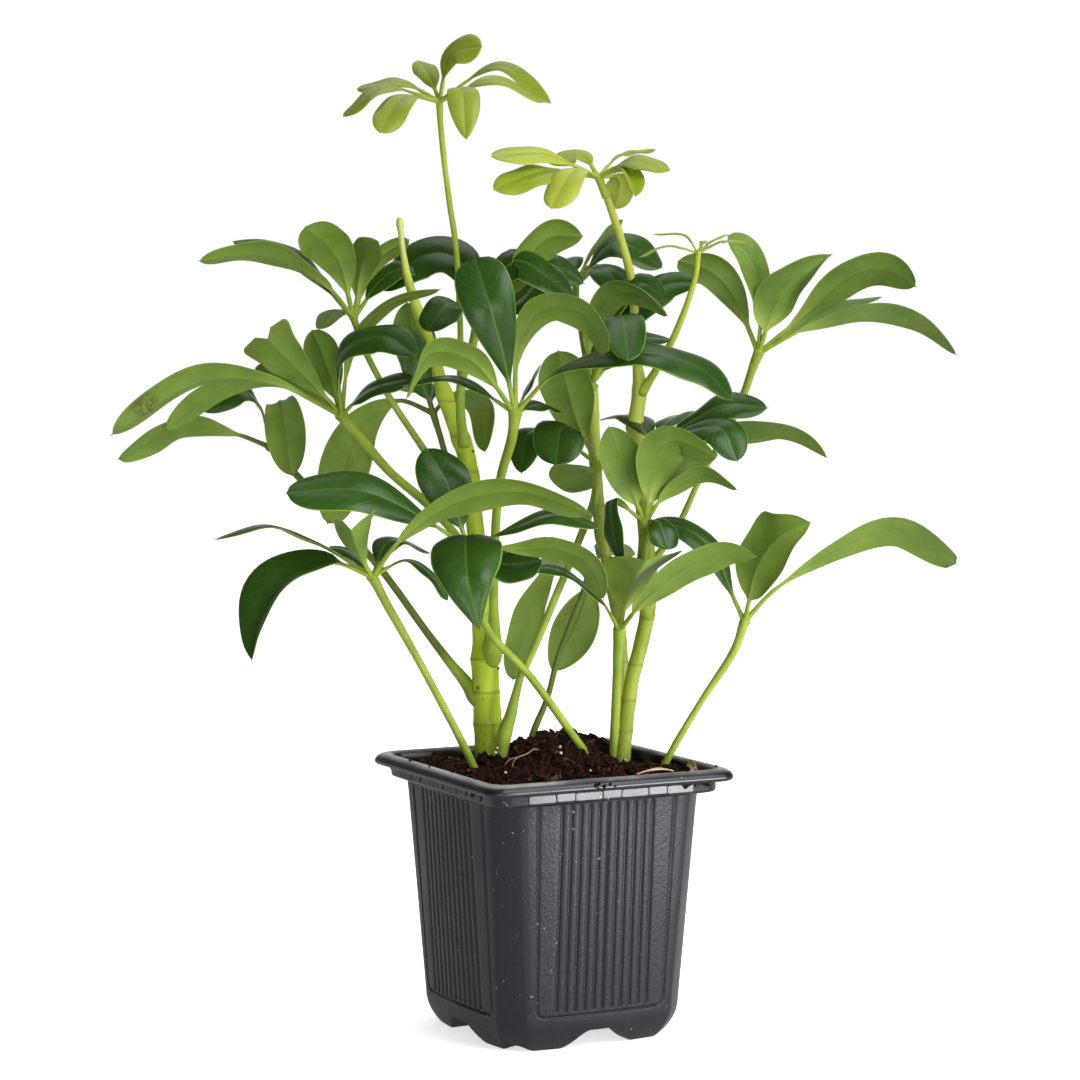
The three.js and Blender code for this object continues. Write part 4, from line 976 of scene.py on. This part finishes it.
def frond(name, hub, stalk, *leaflets, young=0.0, olive=0.0, tone_and_painted_light=(0, 1)):
    """A frond: its knuckle's place, its stalk as places and radii, and its leaflets. young and olive
    colour it. The last setting is how light its leaflets may be, from 0 to 1: a random tone, held
    darker as painted shade on fronds the lamps light strongly, lighter as painted light on low and
    backlit ones."""
    number = len(grown)
    draw = np.random.default_rng(100 + number)
    blade_from = YOUNG_PETIOLULE_END if young else PETIOLULE_END
    parts = [leaflet(hub, shape, draw, blade_from) for shape in leaflets]
    # Drawn lighter on low and backlit fronds as painted light, darker on strongly lit ones as painted
    # shade.
    tints_and_painted_light = [*draw.uniform(*tone_and_painted_light, len(parts)), 0, 0]
    stalk_verts, stalk_faces, share = tube(
        [[*hub, stalk[0][3]]] + stalk, 16, 1.2, stalk_swell, 0.06, number)
    for verts, faces in ((stalk_verts, stalk_faces), lump(hub, stalk[0][3] + 0.2, number)):
        parts.append((verts, faces, np.tile(STALK_NOTES, (len(verts), 1))))
    verts, faces = joined(parts)
    piece = add_piece(name + "_leaf", from_view(verts), faces, leaf_green,
                      "young_leaf" if young else "leaf", name)
    notes = np.vstack([part[2] for part in parts])
    for column, label in enumerate(("upper", "across", "along", "rib", "blade")):
        give(piece, label, notes[:, column])
    give(piece, "young", np.full(len(verts), young))
    olives = np.full(len(verts), olive)
    stalk_from = sum(len(part[0]) for part in parts[:-2])
    olives[stalk_from:stalk_from + len(share)] *= 1 - ease((share - 0.78) / 0.1)
    give(piece, "olive", olives)
    give(piece, "tint_and_painted_light", np.repeat(tints_and_painted_light, [len(part[0]) for part in parts]))
    grown.append(piece)


# Fronds that set how light their leaflets may be paint light and shade: darker on the left, upper right and
# right back, lighter on the low and backlit fronds.
frond("frond_top", [-40.5, 5, 338], [
    [-40.2, 5, 331, 1.3], [-38.8, 6, 316, 1.2], [-36.9, 7, 301, 1.25], [-34.8, 9, 286, 1.3],
    [-33.3, 13, 256, 1.3], [-33.4, 16, 234, 1.5], [-32, 17.5, 214, 1.6]],
    leaf([[-20, -10, 4], [-34, -16, -7]], 11, [0, -0.3, 1]),
    leaf([[-14.6, 4, 7.3], [-30.6, 10, 5.5]], 11, [0, -0.5, 1]),
    leaf([[-4, 7, 10], [-8.4, 14, 16]], 9, [0.2, -1, 0.4]),
    leaf([[4.4, -3, 16.4], [15.7, -8, 18.9]], 13, [-0.5, -0.7, 0.5]),
    leaf([[22, -4, 12.5], [40.5, -10, -1.8]], 9.5, [0.1, -0.6, 1], twist=8),
    leaf([[20, 9, 8.3], [38, 14, 0.7]], 10, [0, -0.55, 1]),
    leaf([[9, -15, 3], [10.5, -26, -15.8]], 12, [0.1, -0.6, 1], broad=0.42),
    leaf([[-12.3, -15, 0], [-20.4, -26, -13.4]], 12.5, [0, -0.6, 1], twist=-18),
    young=0.7)
frond("frond_top_right", [17.4, 15, 311.3], [[18.5, 15.4, 308.6, 1.4], [20.5, 16, 304, 1.5]],
    leaf([[-21.4, -10, 8.1], [-39.2, -17, 6.2]], 14.5, [0, -0.65, 1]),
    leaf([[-19.6, -15, 0.9], [-38.3, -25, -6.1]], 14, [0, -0.8, 1]),
    leaf([[-8.7, -17, 1], [-17.4, -27, -13]], 13, [0, -0.6, 1]),
    leaf([[-6.6, 7, 8.8], [-18.1, 6, 5.2]], 11, [0, -0.6, 1]),
    leaf([[8.2, 6, 8.5], [21.3, 10, 10.4]], 9, [0, 0.1, 1]),
    leaf([[12.2, -8, 5.5], [25.5, -14, 1.3]], 12, [0, -0.6, 1]),
    leaf([[9.1, -9, 1.5], [13, -18, -8.2]], 8, [0.3, -0.6, 1], 30),
    leaf([[7, 10, 0], [6, 18, -11]], 11, [0, 0.3, 1]),
    young=1.0)
frond("frond_upper_left", [-72.2, 10, 259.7], [
    [-69, 10, 250, 1.3], [-60, 11, 232, 1.4], [-49, 12, 215, 1.5], [-38, 13, 199, 1.6],
    [-29, 15, 190, 1.7]],
    leaf([[-10.3, -5, 12.3], [-31.7, -10, 22.6], [-54.8, -18, 20.2]], 15, [0, 0.5, 1], 16),
    leaf([[-24, 6, 24.2], [-45.4, 10, 28.4]], 14, [0, -0.35, 1]),
    leaf([[-5.3, -6, 20.5], [-15.7, -25, 32.5]], 17, [0, 1, 0.3]),
    leaf([[4, 2, 20.5], [10, -15, 27.5]], 12, [0.3, 1, 0.2]),
    leaf([[7.2, 10, 20.6], [20.1, 12, 29.2]], 10, [0.3, 0.6, 1]),
    leaf([[11, 8, 14.8], [22, 12, 20], [34, 14, 20.7]], 14, [0, -0.5, 1]),
    leaf([[-6, 10, 3], [-14, 18, -4]], 12, [0, 0, 1]))
frond("frond_crown_left", [-26.5, 0, 259.6], [
    [-29, 2, 248, 1.9], [-32.5, 3, 237, 2], [-33, 5, 224, 2], [-31.6, 9.5, 213, 2]],
    leaf([[-8, 14, 21], [-19, 20, 23], [-37, 22, 10.5]], 21, [0, -0.8, 0.7]),
    leaf([[-10, -10, 5], [-17.5, -18, -5.2]], 16, [0, -0.6, 1]),
    leaf([[13.5, 2, 20.4], [24.4, 1, 14.9], [34.5, 0, 6.6]], 19, [0, -0.7, 1]),
    leaf([[11, 8, 12], [25, 12, 29], [38.5, 13, 30]], 21, [-0.3, 0.6, 1]),
    leaf([[14, 14, 6], [28, 22, 18], [39, 24, 13]], 18, [0, -0.9, 0.8]),
    leaf([[0, 18, 14], [4, 38, 8]], 19, [0, -0.4, 1]))
frond("frond_left", [-76.6, 8, 224.1], [
    [-69.5, 8, 215.5, 2.2], [-59, 8, 203.5, 2], [-44.7, 8, 191, 1.9], [-33.5, 11, 178, 1.9],
    [-26, 16, 163, 2]],
    leaf([[-25.5, -6, 12.2], [-50, -10, 13], [-83, -12, -7]], 15, [0, 0.55, 1], 21, broad=0.6, twist=10),
    leaf([[-24, 3, 12], [-46, 7, 9.5], [-66, 10, -5.5]], 11.5, [0, 0.7, 1], twist=10),
    leaf([[-11, -4, 13], [-26, -10, 28]], 17, [0.3, 1, 0.5], 7, broad=0.8,
         horns=[[1, 0.96, 4], [-1, 0.96, 5]]),
    leaf([[-5, 3, 14.5], [-11.3, 7, 31.5]], 14, [0.2, 1, 0.3]),
    leaf([[4.2, -5, 25.2], [16.2, -8, 39.9], [36.8, -10, 46]], 12, [-0.7, 0.35, 0.7]),
    leaf([[1, -16, 23.2], [16.6, -25, 29.1], [29, -37, 21.8]], 15, [0, -0.8, 0.8]),
    leaf([[11.3, -10, 10.1], [27.8, -15, 14]], 15, [0, -0.6, 1]),
    leaf([[-16, 8, 12], [-33, 12, 17.4]], 9, [0, 0.9, 0.5]),
    tone_and_painted_light=(0.2, 0.7))
frond("frond_far_left", [-105.5, 38, 211.6], [
    [-99.4, 38, 205.3, 1.6], [-85.8, 36, 190.3, 1.6], [-64, 32, 166.3, 1.6], [-46, 26, 142.4, 1.7],
    [-37, 23, 131, 2.1], [-31.6, 21.5, 124.5, 2.9], [-28.5, 20, 119.5, 3.1], [-26, 19, 116, 1.6]],
    leaf([[-12.2, -3, 5], [-31, -13, 9.4], [-54, -26, -3.8]], 13.5, [0, 0.8, 0.8], roll=1.6),
    leaf([[-3, -6, 15], [-9, -9, 21], [-26, -12, 15]], 13, [0.1, -0.6, 0.8], twist=-55),
    leaf([[5, -10, 17.5], [10.4, -28, -9.9]], 15, [0, 0.8, -0.5]),
    leaf([[1, 7, 8], [4, 12, 12]], 7, [0, 0.6, 1]),
    olive=1.0)
frond("frond_inner_left", [-43.4, 15, 224.9], [
    [-41, 15, 217, 1.3], [-38, 15, 208, 1.3], [-30, 15, 198, 1.4]],
    leaf([[-13.4, 2, 4.5], [-27.3, 3, -4.6], [-38.8, -6, -41]], 21, [-0.4, 0.8, 0.3]),
    leaf([[-4, -8, 14], [-7, -11, 30.3]], 12, [0.2, -0.8, 0.4]),
    leaf([[-5, 6, 16], [-10, 7, 41]], 16, [0, 0.9, 0.3]),
    leaf([[7.7, 15, 7], [16.9, 20, 3], [18.9, 15, -15.2]], 14, [0.3, 0.6, 0.7]),
    leaf([[-4, 16, 10], [-14, 32, 8]], 14, [0, 0, 1]),
    olive=1.0)
frond("frond_centre", [-12.9, -22, 225.5], [
    [-14, -21, 217, 2.2], [-18.4, -14, 201, 1.9], [-20.7, -2, 172, 1.9], [-21, 7, 152, 2.1],
    [-21.2, 12.6, 144, 3.1], [-21.6, 14.6, 138, 4.5], [-22, 16.4, 134, 3.8], [-23, 19, 131, 1.6]],
    leaf([[-4.1, -10, 20.7], [-8.8, -16, 38.2], [-14.4, -8, 55.5]], 20, [0.1, -1, 0.3], broad=0.74),
    leaf([[-15.8, -10, 19.7], [-29.7, -16, 21.8], [-37.8, -22, 5.4]], 16, [-0.2, 0.8, 1]),
    leaf([[1.5, -6, 24.3], [10.7, -12, 37.2], [24.7, -18, 34.7], [33, -26, 22]], 19.5, [-0.5, 0.7, 0.6],
         broad=0.74, twist=-12),
    leaf([[-21.6, 7, 12.5], [-40.8, 12, 9.6]], 12, [0, -0.2, 1]),
    leaf([[16, -3, 15.4], [44, -5, 21.8], [65.5, -7, 16.2], [77.2, -9, 4.4]], 21, [0, -0.5, 1], broad=0.66),
    leaf([[5, 8, 10], [9, 14, 17]], 9, [0, 0.6, 1]),
    leaf([[8.6, 10, 3], [17, 14, 0]], 12, [0.2, -0.2, 1]))
frond("frond_crown_middle", [14.4, 15, 235.2], [[14.5, 15.2, 233.9, 2.2]],
    leaf([[0, -5, 18], [9, -10, 32.8], [17.9, -15, 32.6], [27.9, -20, 25]], 15, [0, 0.7, 1]),
    leaf([[8.7, -23, 21.8], [10.7, -41, 24.1], [12.2, -61, 8.6]], 16, [0, -0.8, 0.6]),
    leaf([[8, 2, 27.5], [18.5, 3, 37.1], [27.6, -1, 30.1]], 12, [0, -0.5, 1]),
    leaf([[18.8, 10, 29.5], [29.3, 13, 36.9], [40.3, 10, 37.6]], 16, [0, -0.5, 1]),
    leaf([[17, 12, 17], [30.2, 17, 17]], 15, [0, -0.5, 1]),
    leaf([[8, 20, 20], [20, 42, 16]], 19, [0, -0.5, 1]))
frond("frond_back_middle", [9.3, 44, 272.5], [
    [9.8, 43, 266, 1.3], [12, 41, 252, 1.4], [14.5, 36, 236, 1.5], [16.5, 30, 220, 1.6],
    [16.8, 24, 206, 1.7]],
    leaf([[6.3, 8, 12.8], [18.3, 15, 25.1]], 12, [0, 0.5, 1]),
    leaf([[14.9, -5, 15.6], [32.4, -10, 6]], 18, [0, -0.7, 1]),
    leaf([[-10, -6, 6], [-22, -10, -2]], 17, [0, -0.6, 1]),
    leaf([[10, -12, 6], [19, -22, -5]], 14, [0, -0.6, 1]),
    leaf([[-4, 16, 10], [-10, 32, 4]], 17, [0, -0.4, 1]),
    leaf([[10, 14, 8], [22, 28, 0]], 14, [0, 0, 1]))
frond("frond_upper_right", [77, 25, 246.9], [
    [75.5, 26, 243, 1.9], [71.6, 29, 231, 1.7], [64.6, 31, 215.6, 1.4], [57.3, 31, 203.3, 1.3],
    [46.7, 29, 181, 1.4], [37, 26, 168, 1.6]],
    leaf([[-6.8, 6, 16.2], [-16, 18, 29.3], [-29, 28, 35]], 14, [0.2, 0.7, -0.6]),
    leaf([[0.5, -2, 24.4], [-3.9, -4, 36], [-12.3, -6, 43.4]], 15, [-0.6, 0.7, -0.3]),
    leaf([[6, -5, 18], [13, -8, 26.6], [26.3, -10, 36.4]], 18, [-0.5, 0.8, 0.4], 20, broad=0.42, twist=25),
    leaf([[15.4, -2, 13], [33.3, -6, 28.7], [46, -8, 31.2], [57.5, -9, 24.2]], 17.5, [-0.1, 0.8, 0.8]),
    leaf([[22.7, 10, 14.5], [47.5, 14, 21]], 14.5, [0, 0.35, 1]),
    leaf([[18.9, -4, 10], [38.6, -6, 14.7], [58.1, -8, 12.1], [72.5, -9, -1]], 15.5, [0, 0.5, 1]),
    tone_and_painted_light=(0, 0.1))
frond("frond_new", [53.3, 5, 283.2], [
    [52.8, 6, 276, 1.2], [50, 8, 266, 1.3], [44.7, 14, 252, 1.5], [39, 21, 241, 1.7], [33.5, 26, 232, 1.8]],
    leaf([[-4.4, 3, 6.5], [-15.7, 6, 7]], 3, [0, 0, 1]),
    leaf([[-10.6, -3, 2.6], [-21.5, -6, -1.8]], 4, [0, 0, 1]),
    leaf([[4.4, 2, 4], [11, 4, 7]], 3.5, [0, 0, 1]),
    leaf([[8.4, -3, 4], [16.8, -5, 3.6]], 6.5, [0, 0, 1]),
    leaf([[2, -5, 4], [3, -10, 3]], 3, [0, 0, 1]),
    young=1.0)
frond("frond_right_back", [36.3, 8, 213.3], [[35, 13, 206, 1.6], [33, 26, 199, 1.7]],
    leaf([[14.3, -6, 8.6], [26.8, -10, 14.8], [42.2, -12, 13.8]], 16, [0, -0.7, 1]),
    leaf([[23.6, -2, 1.5], [48.7, -8, 2.8], [63.9, -13, -4.3]], 18, [0, 0.5, 1], 21),
    leaf([[8, 14, 9], [16.2, 32, 11.1]], 15, [0, 0.4, 1]),
    leaf([[-6, 24, 10], [-17.7, 34, 8.5]], 15, [0, 0, 1]),
    leaf([[13.9, -14, 6], [25, -22, 6.8], [30.3, -28, -5.2]], 17, [0, -0.6, 1]),
    tone_and_painted_light=(0, 0.4))
frond("frond_right", [33.9, -8, 185.7], [
    [33.5, -4, 178, 2.3], [33, 4, 168, 2.2], [33.6, 15, 157, 2.2], [36, 24, 149, 2.2]],
    leaf([[-7.4, -6, 16.5], [-13.7, -14, 35.3]], 15.5, [-0.3, 0.9, 0.3]),
    leaf([[2.3, -6, 15.7], [9.1, -14, 30.3], [24.5, -18, 24.4]], 20, [-0.3, 0.8, 0.6]),
    leaf([[6, -2, 15], [16.4, 2, 23.3], [26.7, 4, 24.3]], 13, [0, 0.8, 0.7]),
    leaf([[7.1, -2, 10.2], [21.3, -6, 18.3], [32.8, -10, 12.3]], 12, [0, 0.6, 1]),
    leaf([[-12.1, -6, 8.6], [-12.2, -10, -2], [-8.7, -12, -13.3]], 10, [-0.8, -0.5, 0.3]),
    leaf([[5, -6, 1], [8, -12, -9]], 12, [0.3, -0.8, 0.4]))
frond("frond_low_middle", [25.3, 12, 144.8], [
    [24.8, 13, 136, 2.3], [24.4, 14, 124, 2.1], [23.4, 15, 100, 2.1], [23.4, 15, 84, 2.1]],
    leaf([[3, -18, 17.5], [8, -44, 29]], 22, [0, 0.1, 1], 24, horns=[[1, 0.75, 5]]),
    leaf([[9.7, -20, 14.1], [24.3, -30, 26], [36.6, -34, 31.3], [47.7, -38, 29.8]], 17, [-0.2, 0.7, 0.8]),
    leaf([[-8.3, -14, 13.6], [-23.9, -18, 24.1], [-40.8, -20, 23.5]], 12, [0, -0.2, 1]))
frond("frond_low_right", [70.1, -5, 149.5], [
    [66.6, -4, 139.2, 1.8], [54, -2, 119, 1.4], [42.1, 0, 97.6, 1.6], [38, 0.5, 86, 1.6]],
    leaf([[-5.9, 3, 13.2], [-12, 7, 25.6], [-21.2, 9, 32.8], [-33.2, 11, 36.5]], 12.5, [0.2, -0.6, 0.8]),
    leaf([[4.7, -7, 20.2], [13, -11, 32], [23, -13, 37]], 21.5, [0.5, 0.7, -0.3], broad=0.45,
         horns=[[-1, 0.62, 4]]),
    leaf([[10.7, -3, 11.9], [33.3, -11, 27.6], [54.1, -16, 34.5], [75, -18, 22]], 18, [0, 0.8, 0.9],
         broad=0.8),
    tone_and_painted_light=(0.5, 1))
frond("frond_low_left", [-63.8, -22, 167.1], [
    [-59.3, -20, 158, 1.9], [-46, -14, 133, 1.6], [-28.2, -2, 96, 1.8], [-24.5, 0, 85, 1.8]],
    leaf([[-18.2, -4, 11.7], [-37.2, -10, 18.8], [-55.1, -14, 14.1]], 12, [0, 0, 1]),
    leaf([[-14.5, -6, 5.4], [-34.4, -14, -5.3], [-41.7, -18, -28.5]], 22, [-0.4, -0.5, 0.8], 24, broad=0.5),
    leaf([[-4, -8, 8], [-6.2, -26, 18.4]], 13, [-0.2, 0, 1], 40, horns=[[1, 0.8, 3]]),
    leaf([[-9, 10, 8], [-16.2, 17, 10]], 10, [0, 0, 1]),
    leaf([[10.3, -12, 13.8], [28.3, -22, 27.4], [52.8, -27, 32.2], [77.5, -30, 24.1]], 20, [0, 0.6, 1]),
    leaf([[11.8, 0, 6.1], [21.4, -2, 0.9], [27.1, -3, -8.3]], 12, [0, 0, 1]),
    leaf([[5.7, 14, 12.4], [19.8, 22, 7.2]], 13, [0, -0.3, 1]),
    tone_and_painted_light=(0.4, 1))
frond("frond_front", [-29.6, -22, 177.5], [
    [-28, -20, 166, 1.9], [-23, -14, 148, 1.7], [-7.6, 0, 129, 1.7], [8.4, 8, 106, 1.7],
    [13, 10.5, 99, 1.8], [18, 13, 88, 1.8]],
    leaf([[-15.1, -6, 10.3], [-37.6, -14, 20.7], [-64, -18, 20.5]], 20, [0, -0.8, 0.8]),
    leaf([[-4.7, 0, 13.6], [-10, 0, 26.1], [-15.5, 4, 35.6]], 19, [0.2, -1, 0.2]),
    leaf([[-0.4, -14, 5.1], [0.4, -32, -7.3], [4.6, -36, -26.3]], 25.5, [0, -0.9, 0.4], broad=0.3,
         roll=1.3),
    leaf([[16.7, -4, 7.7], [30.9, -8, 12.6], [46.8, -10, 7.7]], 15, [0, -0.4, 1]),
    leaf([[16.8, -8, 0.5], [32.6, -14, 0.9], [43.8, -16, -5], [48, -18, -17.1]], 18, [0, 0.6, 0.9]),
    leaf([[11.3, 4, -6.4], [26.3, 8, -4.9]], 17, [0, -0.7, 0.7]))
frond("frond_low_back", [14.7, 38, 165.8], [
    [12.5, 34, 158, 1.4], [7.5, 30, 146, 1.3], [2.5, 27, 132.6, 1.3], [-1.4, 25, 118, 1.3],
    [-7, 24, 103.8, 1.6], [-9, 23, 88, 1.6]],
    leaf([[-10.5, 2, 3.5], [-22.5, 4, -13.8], [-29.2, 4, -43.1]], 14.5, [-0.5, 0.8, -0.1]),
    leaf([[-1.4, 4, -12], [-5.9, 4, -25.1], [-14.3, 2, -39.3]], 17, [-0.2, 0.9, -0.3], broad=0.5),
    leaf([[8, 14, 8], [14, 34, 2]], 15, [0, 0, 1]),
    leaf([[-8, 14, 6], [-18, 32, -4]], 15, [0, 0, 1]),
    olive=1.0, tone_and_painted_light=(0.9, 1))
frond("frond_inner_middle", [17.2, 5, 206.1], [
    [15.6, 8, 193, 1.7], [11, 11, 180, 1.7], [1.3, 13, 156.3, 1.7], [-6.6, 12, 137.4, 1.6],
    [-11, 11, 128.4, 1.6], [-13.2, 10.5, 120.6, 1.9], [-14.8, 10, 114, 2.6], [-17, 10, 107, 3.3],
    [-18.2, 10, 98.4, 2.5], [-18.6, 10, 86, 2.2]],
    leaf([[-4.9, -10, 9.4], [-12.2, -17, 13.9], [-15.5, -25, 0.6]], 19, [-0.3, -0.75, 0.9]),
    leaf([[-15.7, -5, 11.1], [-24.8, -10, 12], [-28, -17, -2.6]], 16, [-0.6, -0.5, 0.7]),
    leaf([[-6, 14, -4], [-16.4, 23, -7.6]], 17, [0, 0.9, 0.6]),
    leaf([[-1.5, -3, -14], [0, 5, -31]], 7, [0.9, 0, 0.3]),
    leaf([[-7.3, 3, 14.5], [-11.7, 1, 29.2], [-14.7, -1, 42]], 20, [0.2, 0.9, 0.2]))
